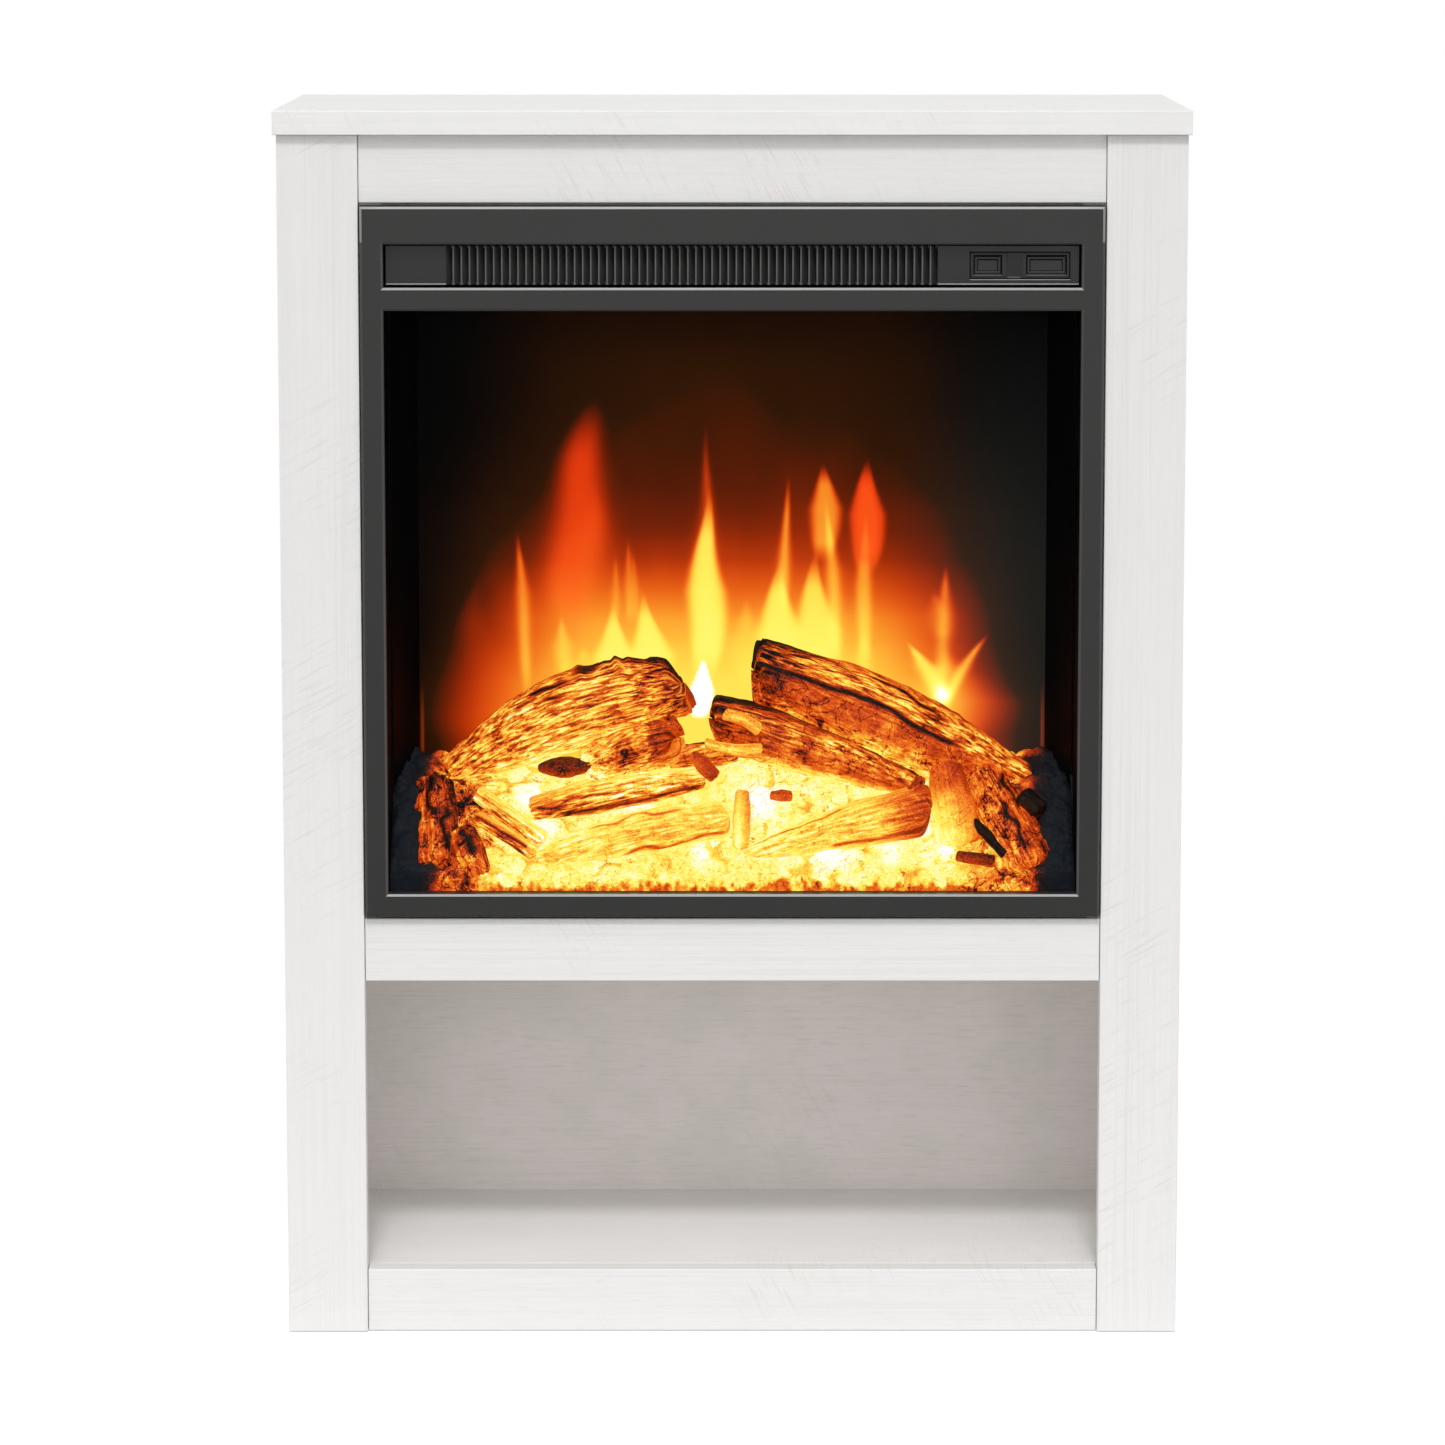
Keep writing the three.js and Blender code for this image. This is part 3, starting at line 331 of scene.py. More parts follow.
def stacked(low: Array, high: Array, corner: float, rings: Sequence[tuple[float, float]]) -> Surface:
    """A turned-over stack of rounded rectangles that face the front, closed at both ends.

    Each ring is the rectangle's outline drawn in by its inset, with corners of the radius less
    the inset, at its depth behind the front.

    Args:
        low: lowest corner of the outline, with the front's place on Y.
        high: highest corner of the outline.
        corner: radius of the outline's corners.
        rings: (inset, depth) of each ring, from the middle of the front to the back.

    Returns:
        One closed surface.
    """
    angle = np.linspace(0.0, math.pi / 2, CORNER_POINTS)
    quarter = np.stack([np.cos(angle), np.sin(angle)], axis=1)
    signs = np.array([[1, 1], [-1, 1], [-1, -1], [1, -1]], float)
    loops = []
    for inset, depth in rings:
        radius = max(corner - inset, SHARPEST_CORNER)
        half = np.array([high[0] - low[0], high[2] - low[2]]) / 2 - inset - radius
        middle = np.array([high[0] + low[0], high[2] + low[2]]) / 2
        loop = []
        for i, sign in enumerate(signs):
            arc = quarter if i % 2 == 0 else quarter[::-1]
            loop.append(middle + sign * (half + radius * arc))
        loops.append(np.insert(np.concatenate(loop), 1, low[1] + depth, axis=1))
    count, around = len(loops), len(loops[0])
    quads = [quad[::-1] for quad in grid_faces(count, around, around=True)]
    back = tuple(range((count - 1) * around, count * around))[::-1]
    faces = quads + [tuple(range(around)), back]
    return Surface(np.concatenate(loops), faces, [False] * len(faces))


def make_piece(
    name: str,
    surface: Surface,
    finish: "Finish",
    replaces: Sequence[str] = (),
    body: str = STATIC,
) -> bpy.types.Object:
    """Makes a mesh object of a surface, dresses it and lets it ride on a body.

    Args:
        name: name of the piece.
        surface: its points and faces.
        finish: its finish.
        replaces: frame nodes that it stands for.
        body: the body that it moves with.

    Returns:
        The object.
    """
    mesh = bpy.data.meshes.new(name)
    mesh.from_pydata(surface.points.tolist(), [], surface.faces)
    mesh.polygons.foreach_set("use_smooth", surface.smooth)
    if surface.glow is not None:
        domain = "POINT" if len(surface.glow) == len(surface.points) else "CORNER"
        layer = mesh.color_attributes.new("glow", "FLOAT_COLOR", domain)
        layer.data.foreach_set("color", surface.glow.astype(np.float32).ravel())
    if surface.bark is not None:
        layer = mesh.attributes.new("bark", "FLOAT_VECTOR", "POINT")
        layer.data.foreach_set("vector", surface.bark.astype(np.float32).ravel())
    mesh.update()
    piece = bpy.data.objects.new(name, mesh)
    bpy.context.scene.collection.objects.link(piece)
    mesh.materials.append(finish.material())
    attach(piece, body)
    if replaces:
        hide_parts(*replaces)
    log.info("%s: %d faces, rides on %s", name, len(surface.faces), body)
    return piece


def dress(finish: "Finish", nodes: Iterable[str]) -> None:
    """Gives frame nodes a finish, and leaves their shape alone.

    Args:
        finish: the finish.
        nodes: names of the frame nodes.
    """
    for node in nodes:
        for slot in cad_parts[node].material_slots:
            slot.material = finish.material()
        log.info("%s: frame node, finished as %s", node, finish.label)


@dataclass(frozen=True)
class Extent:
    """Lowest and highest corner of a frame node at rest, in metres."""

    low: Array
    high: Array

    @classmethod
    def of(cls, *nodes: str) -> "Extent":
        """The box round one or more frame nodes.

        Args:
            *nodes: names of the frame nodes.

        Returns:
            The box round them all.
        """
        boxes = [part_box(node) for node in nodes]
        low = np.min([np.array(b[0]) for b in boxes], axis=0)
        return cls(low, np.max([np.array(b[1]) for b in boxes], axis=0))

    def drawn_in(self, lap: float) -> "Extent":
        """The box with its lap taken off left, right, below and above, its depth as it is."""
        inward = np.array([lap, 0.0, lap])
        return Extent(self.low + inward, self.high - inward)

    @property
    def middle(self) -> Array:
        """The middle of the box."""
        return (self.low + self.high) / 2

    @property
    def size(self) -> Array:
        """The box's three lengths."""
        return self.high - self.low


# ------------------------ finishes
class Grain(Enum):
    """The axis that a board's printed grain runs along."""

    ACROSS = 0
    UP = 2


class Tree:
    """Builds one material's nodes."""

    def __init__(self, name: str) -> None:
        """Starts a material with a surface shader and an output.

        Args:
            name: name of the material.
        """
        self.material = bpy.data.materials.new(name)
        self.material.use_nodes = True
        self.nodes = self.material.node_tree.nodes
        self.links = self.material.node_tree.links
        self.nodes.clear()
        self.shader = self.nodes.new("ShaderNodeBsdfPrincipled")
        output = self.nodes.new("ShaderNodeOutputMaterial")
        self.links.new(self.shader.outputs["BSDF"], output.inputs["Surface"])

    def set(self, **values: object) -> None:
        """Sets the shader's sockets: words with _ for a space, a value or another socket."""
        for words, value in values.items():
            self.plug(self.shader, words.replace("_", " "), value)

    def plug(self, node: bpy.types.Node, socket: str | int, value: object) -> None:
        """Sets or links one input of a node.

        Args:
            node: the node.
            socket: name or number of its input.
            value: a socket to link, or a number, colour or place to set.
        """
        if isinstance(value, bpy.types.NodeSocket):
            self.links.new(value, node.inputs[socket])
        else:
            node.inputs[socket].default_value = value

    def add(self, kind: str, **inputs: object) -> bpy.types.Node:
        """Adds a node of a kind, and sets or links its inputs by name.

        Args:
            kind: Blender's name of the kind, without its prefix.
            **inputs: inputs by name, an underscore for each space.

        Returns:
            The node.
        """
        node = self.nodes.new("ShaderNode" + kind)
        for words, value in inputs.items():
            self.plug(node, words.replace("_", " "), value)
        return node

    def place(self, scale: Triple = (1.0, 1.0, 1.0), turn: Triple = (0.0, 0.0, 0.0)) -> Socket:
        """Object coordinates, turned and scaled."""
        source = self.add("TexCoord").outputs["Object"]
        return self.add("Mapping", Vector=source, Rotation=turn, Scale=scale).outputs["Vector"]

    def carried(self, name: str) -> bpy.types.Node:
        """What the surface's points carry under a name.

        Args:
            name: name of the attribute.

        Returns:
            The node that reads it.
        """
        node = self.add("Attribute")
        node.attribute_name = name
        return node

    def noise(
        self, vector: Socket, scale: float, detail: float = 4.0, rough: float = 0.55, warp: float = 0.0
    ) -> Socket:
        """Noise from 0 to 1.

        Args:
            vector: the place.
            scale: cells in a unit of the place.
            detail: how many finer layers are added.
            rough: weight of each finer layer against the one before.
            warp: how far places are shifted by a noise of their own.

        Returns:
            The noise.
        """
        node = self.add("TexNoise", Vector=vector, Scale=scale, Detail=detail, Roughness=rough)
        node.inputs["Distortion"].default_value = warp
        return node.outputs["Fac"]

    def lines(self, vector: Socket, scale: float, width: float, warp: float = 0.0) -> Socket:
        """Thin winding lines: 1 where a noise passes its middle, and 0 away from there.

        Args:
            vector: the place.
            scale: cells of the noise in a unit of the place.
            width: how far from the middle the noise may be.
            warp: how far places are shifted.

        Returns:
            The lines.
        """
        noise = self.noise(vector, scale, 3.0, 0.55, warp)
        away = self.math("ABSOLUTE", self.math("SUBTRACT", noise, 0.5))
        return self.span(away, 0.0, width, 1.0, 0.0)

    def ramp(self, value: Socket, *stops: tuple[float, Colour]) -> Socket:
        """Colours along a value.

        Args:
            value: from 0 to 1.
            stops: values and their colours.

        Returns:
            The colour.
        """
        node = self.add("ValToRGB", Fac=value)
        band = node.color_ramp
        for i, (at, colour) in enumerate(stops):
            stop = band.elements[i] if i < 2 else band.elements.new(at)
            stop.position, stop.color = at, (*colour, 1.0)
        return node.outputs["Color"]

    def span(self, value: Socket, low: float, high: float, start: float, end: float) -> Socket:
        """A value mapped from one range to another, and held at its ends.

        Args:
            value: the value.
            low: what becomes the start.
            high: what becomes the end.
            start: the first end of the new range.
            end: its other end.

        Returns:
            The mapped value.
        """
        node = self.add("MapRange", Value=value)
        for i, number in enumerate((low, high, start, end), 1):
            node.inputs[i].default_value = number
        return node.outputs["Result"]

    def mix(self, share: Socket, first: Socket | Colour, second: Socket | Colour) -> Socket:
        """Two colours mixed by a share.

        Args:
            share: 0 gives the first and 1 the second.
            first: a colour.
            second: the other colour.

        Returns:
            The mixed colour.
        """
        node = self.nodes.new("ShaderNodeMix")
        node.data_type = "RGBA"
        for socket, value in ((0, share), (6, first), (7, second)):
            value = (*value, 1.0) if isinstance(value, tuple) else value
            self.plug(node, socket, value)
        return node.outputs[2]

    def math(self, kind: str, *values: Socket | float) -> Socket:
        """Arithmetic on values.

        Args:
            kind: Blender's name of the operation.
            values: its terms.

        Returns:
            The result.
        """
        node = self.nodes.new("ShaderNodeMath")
        node.operation = kind
        for place, value in enumerate(values):
            self.plug(node, place, value)
        return node.outputs[0]

    def bump(self, height: Socket, strength: float, distance: float) -> None:
        """Raises the surface by a height."""
        node = self.add("Bump", Height=height, Strength=strength, Distance=distance)
        self.set(Normal=node.outputs["Normal"])


@dataclass(frozen=True)
class Finish:
    """A finish that builds its material once."""

    label: str

    def paint(self, tree: Tree) -> None:
        """Fills the material's nodes."""
        raise NotImplementedError

    @cache
    def material(self) -> bpy.types.Material:
        """The material, made at its first use.

        Returns:
            The material.
        """
        tree = Tree(self.label)
        self.paint(tree)
        return tree.material


@dataclass(frozen=True)
class Whitewash(Finish):
    """Whitewashed wood print: streaks and short fibres along the grain, and oblique saw marks."""

    grain: Grain = Grain.UP
    light: Colour = (0.815, 0.807, 0.797)
    warm: Colour = (0.715, 0.685, 0.665)
    fibre: float = 0.10
    blotch: float = 0.18
    bare: Colour = (0.60, 0.565, 0.535)
    grey: Colour = (0.76, 0.76, 0.735)
    saw_turn: float = 0.5

    def paint(self, tree: Tree) -> None:
        """Fine streaks, broad bands, saw marks, fibres and grey blotches over white.

        Args:
            tree: nodes of the material.
        """
        fine = tree.place(self.scaled(5.0, 620.0))
        broad = tree.place(self.scaled(1.3, 34.0))
        pores = tree.place(self.scaled(16.0, 1500.0))
        streaks = tree.noise(fine, 1.0, 6.0, 0.62)
        bands = tree.noise(broad, 1.0, 5.0, 0.6)
        hair = tree.noise(pores, 1.0, 3.0, 0.5)
        fibres = tree.noise(tree.place(self.scaled(55.0, 640.0)), 1.0, 3.0, 0.6)
        blotches = tree.noise(tree.place(), 17.0, 4.0, 0.6)
        turned = tree.place((1.0, 1.0, 1.0), (0.0, self.saw_turn, 0.0))
        sawing = tree.add("Mapping", Vector=turned, Scale=self.scaled(520.0, 38.0))
        saw = tree.noise(sawing.outputs["Vector"], 1.0, 3.0, 0.6)
        patches = tree.noise(tree.place(), 7.0, 2.0, 0.5)
        sawn = tree.math(
            "MULTIPLY", tree.span(saw, 0.54, 0.70, 0.0, 0.75), tree.span(patches, 0.5, 0.62, 0.0, 1.0)
        )
        tint = tree.math(
            "MULTIPLY", tree.span(streaks, 0.45, 0.78, 0.0, 1.0), tree.span(bands, 0.38, 0.68, 0.12, 0.9)
        )
        share = tree.math("MAXIMUM", tint, sawn)
        colour = tree.mix(share, self.light, self.warm)
        colour = tree.mix(tree.span(blotches, 0.42, 0.62, 0.0, self.blotch), colour, self.grey)
        colour = tree.mix(tree.span(fibres, 0.52, 0.74, 0.0, self.fibre), colour, self.bare)
        specks = tree.span(hair, 0.66, 0.80, 0.0, 0.22)
        tree.set(
            Base_Color=tree.mix(specks, colour, self.bare),
            Roughness=tree.span(streaks, 0.3, 0.8, 0.46, 0.60),
            Specular_IOR_Level=0.35,
        )
        height = tree.math("ADD", streaks, tree.math("MULTIPLY", sawn, -0.6))
        tree.bump(height, 0.16, 0.00025)

    def scaled(self, along: float, across: float) -> Triple:
        """The pattern's scale per metre, along the grain's axis and across it.

        Args:
            along: scale along the grain.
            across: scale across it.

        Returns:
            The scale on each axis.
        """
        scale = [across] * 3
        scale[self.grain.value] = along
        return tuple(scale)


@dataclass(frozen=True)
class Coated(Finish):
    """Paint or moulded plastic: one colour with a faint mottle and a fine skin."""

    colour: Colour = (0.05, 0.05, 0.05)
    roughness: float = 0.4
    skin: float = 1800.0
    relief: float = 0.12
    gloss: float = 0.5

    def paint(self, tree: Tree) -> None:
        """A mottled colour, with the skin as bump.

        Args:
            tree: nodes of the material.
        """
        place = tree.place()
        mottle = tree.noise(place, 24.0, 3.0)
        skin = tree.noise(place, self.skin, 2.0)
        darker = tuple(0.86 * c for c in self.colour)
        tree.set(
            Base_Color=tree.mix(mottle, darker, self.colour),
            Roughness=tree.span(mottle, 0.1, 0.9, self.roughness - 0.05, self.roughness + 0.06),
            Specular_IOR_Level=self.gloss,
        )
        tree.bump(skin, self.relief, 0.0001)


@dataclass(frozen=True)
class PaintedHighlightCoat(Coated):
    """Paint with a painted highlight: a paler satin where the points' glow says so."""

    # Colour of the painted highlight.
    painted_highlight: Colour = (0.40, 0.40, 0.395)

    def paint(self, tree: Tree) -> None:
        """The coat, made paler as a painted highlight by the red part of the glow.

        Args:
            tree: nodes of the material.
        """
        super().paint(tree)
        glow = tree.carried("glow").outputs["Color"]
        share = tree.add("SeparateColor", Color=glow).outputs["Red"]
        coat = tree.shader.inputs["Base Color"].links[0].from_socket
        tree.set(Base_Color=tree.mix(share, coat, self.painted_highlight))


@dataclass(frozen=True)
class Galvanised(Finish):
    """Zinc on steel: angular spangle in slightly different greys."""

    def paint(self, tree: Tree) -> None:
        """Spangle from cells, with light rolling marks.

        Args:
            tree: nodes of the material.
        """
        cells = tree.add("TexVoronoi", Vector=tree.place(), Scale=95.0)
        rolled = tree.noise(tree.place((14.0, 14.0, 900.0)), 1.0, 3.0)
        spangle = tree.ramp(
            cells.outputs["Color"], (0.2, (0.44, 0.45, 0.46)), (0.8, (0.60, 0.61, 0.62))
        )
        tree.set(
            Base_Color=tree.mix(tree.span(rolled, 0.3, 0.7, 0.0, 0.2), spangle, (0.36, 0.37, 0.38)),
            Roughness=tree.span(cells.outputs["Distance"], 0.0, 0.8, 0.34, 0.5),
            Metallic=0.9,
        )
        tree.bump(rolled, 0.05, 0.0002)


@dataclass(frozen=True)
class Brushed(Finish):
    """Bright steel with brush marks along X."""

    colour: Colour = (0.72, 0.72, 0.73)

    def paint(self, tree: Tree) -> None:
        """Fine lines along X, in gloss and in bump.

        Args:
            tree: nodes of the material.
        """
        lines = tree.noise(tree.place((9.0, 1400.0, 1400.0)), 1.0, 3.0)
        darker = tuple(0.8 * c for c in self.colour)
        tree.set(
            Base_Color=tree.mix(lines, darker, self.colour),
            Roughness=tree.span(lines, 0.3, 0.7, 0.16, 0.3),
            Metallic=1.0,
        )
        tree.bump(lines, 0.06, 0.0001)


@dataclass(frozen=True)
class Circuit(Finish):
    """Green lacquer over copper tracks."""

    def paint(self, tree: Tree) -> None:
        """Tracks as edges of blocks.

        Args:
            tree: nodes of the material.
        """
        blocks = tree.add("TexBrick", Vector=tree.place(), Scale=55.0, Mortar_Size=0.045)
        tracks = tree.span(blocks.outputs["Fac"], 0.0, 1.0, 0.0, 1.0)
        tree.set(
            Base_Color=tree.mix(tracks, (0.015, 0.12, 0.045), (0.05, 0.28, 0.10)),
            Roughness=tree.span(tree.noise(tree.place(), 60.0), 0.3, 0.7, 0.22, 0.34),
        )
        tree.bump(tracks, 0.2, 0.0001)


@dataclass(frozen=True)
class Pane(Finish):
    """Clear coated glass that hardly mirrors."""

    def paint(self, tree: Tree) -> None:
        """A thin dark film, with the faintest smear in its gloss.

        Args:
            tree: nodes of the material.
        """
        smear = tree.noise(tree.place((3.0, 3.0, 9.0)), 6.0, 3.0)
        tree.set(
            Base_Color=tree.mix(smear, (0.012, 0.014, 0.014), (0.018, 0.02, 0.02)),
            Roughness=tree.span(smear, 0.3, 0.7, 0.02, 0.06),
            Alpha=0.015,
            IOR=1.03,
        )


@dataclass(frozen=True)
class Glowing(Finish):
    """Moulded resin lit from inside, its paint burnt away in streaks, patches and cracks.

    The first number of the glow that a point carries is its heat, the second the contrast of
    its streaks, the third that of its patches, and the fourth how clean of soot it is. Streaks
    are noise on the bark's own place: two lengths round the log and one along it.
    """

    soot: Colour = (0.004, 0.0035, 0.0035)
    sooty_end: Colour = (0.010, 0.0125, 0.017)
    strength: float = 1.04
    fine: float = 0.0021
    long: float = 0.015
    patch: float = 0.011
    grit: float = 0.0011
    cracks: float = 0.0
    specks: float = 0.22
    relief: float = 0.5

    def paint(self, tree: Tree) -> None:
        """Heat summed from the point's own and the noises, then turned into colour.

        Args:
            tree: nodes of the material.
        """
        glow = tree.carried("glow")
        parts = tree.add("SeparateColor", Color=glow.outputs["Color"]).outputs
        bark = tree.carried("bark").outputs["Vector"]
        scale = (1.0 / self.fine, 1.0 / self.fine, 1.0 / self.long)
        drawn = tree.add("Mapping", Vector=bark, Scale=scale).outputs["Vector"]
        streak = tree.span(tree.noise(drawn, 1.0, 3.0, 0.6, 0.35), 0.37, 0.63, -1.0, 1.0)
        place = tree.place()
        patch = tree.span(tree.noise(place, 1.0 / self.patch, 5.0, 0.6), 0.25, 0.75, -1.0, 1.0)
        grit = tree.span(tree.noise(place, 1.0 / self.grit, 3.0, 0.6), 0.3, 0.7, -0.09, 0.09)
        speck = tree.span(tree.noise(place, 0.8 / self.grit, 2.0, 0.5), 0.67, 0.73, 0.0, self.specks)
        veins = tree.lines(place, 0.9 / self.patch, 0.035, 0.8)
        dark = tree.lines(tree.place((1.0, 1.0, 1.0), (0.4, 0.9, 0.2)), 0.6 / self.patch, 0.02, 0.8)
        heat = tree.math("MULTIPLY_ADD", streak, parts["Green"], parts["Red"])
        heat = tree.math("MULTIPLY_ADD", patch, parts["Blue"], heat)
        heat = tree.math("MULTIPLY_ADD", veins, tree.math("MULTIPLY", parts["Blue"], 0.8), heat)
        heat = tree.math("MULTIPLY_ADD", dark, tree.math("MULTIPLY", parts["Blue"], -1.7), heat)
        heat = tree.math("ADD", heat, grit)
        heat = tree.math("SUBTRACT", heat, speck)
        if self.cracks:
            line = tree.lines(place, 1.0 / self.cracks, 0.006, 0.5)
            rare = tree.span(tree.noise(place, 33.0, 2.0), 0.48, 0.58, 0.0, 0.5)
            heat = tree.math("SUBTRACT", heat, tree.math("MULTIPLY", line, rare))
        heat = tree.math("MULTIPLY", heat, glow.outputs["Alpha"])
        stops = [(stop.heat / HOTTEST, stop.light) for stop in GLOW]
        light = tree.ramp(tree.math("DIVIDE", heat, HOTTEST), *stops)
        tree.set(
            Base_Color=tree.mix(glow.outputs["Alpha"], self.sooty_end, self.soot),
            Roughness=tree.span(patch, -1.0, 1.0, 0.5, 0.75),
            Emission_Color=light,
            Emission_Strength=self.strength,
            Specular_IOR_Level=0.06,
        )
        tree.bump(tree.math("MULTIPLY_ADD", streak, parts["Green"], patch), self.relief, 0.0008)


@dataclass(frozen=True)
class LitScreen(Finish):
    """Smoked screen with the flame picture on it."""

    strength: float = 1.08

    def paint(self, tree: Tree) -> None:
        """The picture is the light given off, on a dark satin sheet.

        Args:
            tree: nodes of the material.
        """
        glow = tree.carried("glow").outputs["Color"]
        frost = tree.noise(tree.place(), 900.0, 2.0)
        tree.set(
            Base_Color=tree.mix(frost, (0.001, 0.001, 0.001), (0.002, 0.002, 0.002)),
            Roughness=tree.span(frost, 0.3, 0.7, 0.4, 0.5),
            Emission_Color=glow,
            Emission_Strength=self.strength,
            Specular_IOR_Level=0.015,
        )


UPRIGHT_BOARD = Whitewash("whitewash_upright", Grain.UP)
LEVEL_BOARD = Whitewash("whitewash_level", Grain.ACROSS, fibre=0.20)
TOP_BOARD = Whitewash("whitewash_top", Grain.ACROSS, (0.865, 0.860, 0.853), (0.785, 0.762, 0.744))
# The niche's back: its own pink tint, grey blotches and fibres, and paler than the other boards as painted
# light for the niche's shade.
SHADED_BOARD = Whitewash(
    "whitewash_niche", Grain.ACROSS, (0.895, 0.835, 0.810), (0.80, 0.74, 0.70),
    fibre=0.30, blotch=0.5, bare=(0.60, 0.54, 0.49), grey=(0.78, 0.76, 0.71),
)
RAW_BOARD = Whitewash("raw_board", Grain.ACROSS, (0.87, 0.79, 0.73), (0.78, 0.69, 0.62), fibre=0.25)
# The fascia's steel, with a painted highlight on the bends that face up.
BLACK_STEEL = PaintedHighlightCoat(
    "satin_black_steel", (0.0150, 0.0150, 0.0142), 0.31, skin=2200.0, relief=0.08, gloss=0.29
)
LINER = Coated("satin_black_liner", (0.0015, 0.0015, 0.0015), 0.35, skin=300.0, relief=0.02, gloss=0.02)
PLASTIC = Coated("moulded_plastic", (0.012, 0.012, 0.0116), 0.34, skin=2600.0, relief=0.08, gloss=0.27)
KEY_PLASTIC = Coated("key_plastic", (0.010, 0.010, 0.0098), 0.32, skin=3000.0, relief=0.05, gloss=0.30)
# The strip's plastic made paler for the blades' slanted faces: painted light where they get little.
PAINTED_LIGHT_LOUVRE = Coated("louvre_plastic_painted_light", (0.040, 0.040, 0.039), 0.45, skin=2600.0, relief=0.08, gloss=0.2)
# Near-black plastic for bars that paint the shadow lines round the keys and their pocket.
SHADOW_LINE = Coated("painted_shadow_black", (0.0015, 0.0015, 0.0015), 0.7, skin=1200.0, relief=0.1, gloss=0.05)
# Pale plastic for slim bars that paint the highlights on edges that catch the light.
PAINTED_EDGE_HIGHLIGHT = Coated("plastic_painted_highlight", (0.085, 0.085, 0.083), 0.35, skin=3000.0, relief=0.05, gloss=0.4)
# Pale plastic for bars that paint the highlights on the strip's lower edges.
PAINTED_SILL_HIGHLIGHT = Coated("plastic_painted_sill_highlight", (0.30, 0.30, 0.295), 0.35, skin=3000.0, relief=0.05, gloss=0.4)
LENS = Coated("smoked_window", (0.008, 0.008, 0.008), 0.2, skin=400.0, relief=0.01, gloss=0.2)
RUBBER = Coated("matt_rubber", (0.018, 0.018, 0.018), 0.72, skin=1200.0, relief=0.25, gloss=0.3)
CERAMIC = Coated("fired_ceramic", (0.58, 0.54, 0.47), 0.75, skin=900.0, relief=0.30, gloss=0.3)
ZINC = Galvanised("spangled_zinc")
BRIGHT = Brushed("brushed_steel")
LACQUER = Circuit("circuit_lacquer")
GLASS = Pane("coated_glass")
SCREEN = LitScreen("flame_screen_sheet")
BARK = Glowing("glowing_bark")
EMBERS = Glowing("glowing_embers", patch=0.007, grit=0.0010, cracks=0.019, specks=0.5)


# ------------------------ surround
@dataclass
class Surround:
    """The boards of the mantel, with slightly rounded edges."""

    edge: float = 0.7 * MM

    def build(self) -> None:
        """Builds each board over its frame node."""
        boards = {
            UPRIGHT_BOARD: ["left_side_panel", "right_side_panel", "left_stile", "right_stile"],
            LEVEL_BOARD: ["top_rail", "middle_rail", "bottom_rail", "back_stretcher"],
            TOP_BOARD: ["mantel_top", "niche_floor"],
            SHADED_BOARD: ["niche_back"],
            RAW_BOARD: ["insert_shelf"],
        }
        for finish, nodes in boards.items():
            for node in nodes:
                extent = Extent.of(node)
                board = rounded_box(extent.low, extent.high, self.edge)
                make_piece(node + "_board", board, finish, [node])


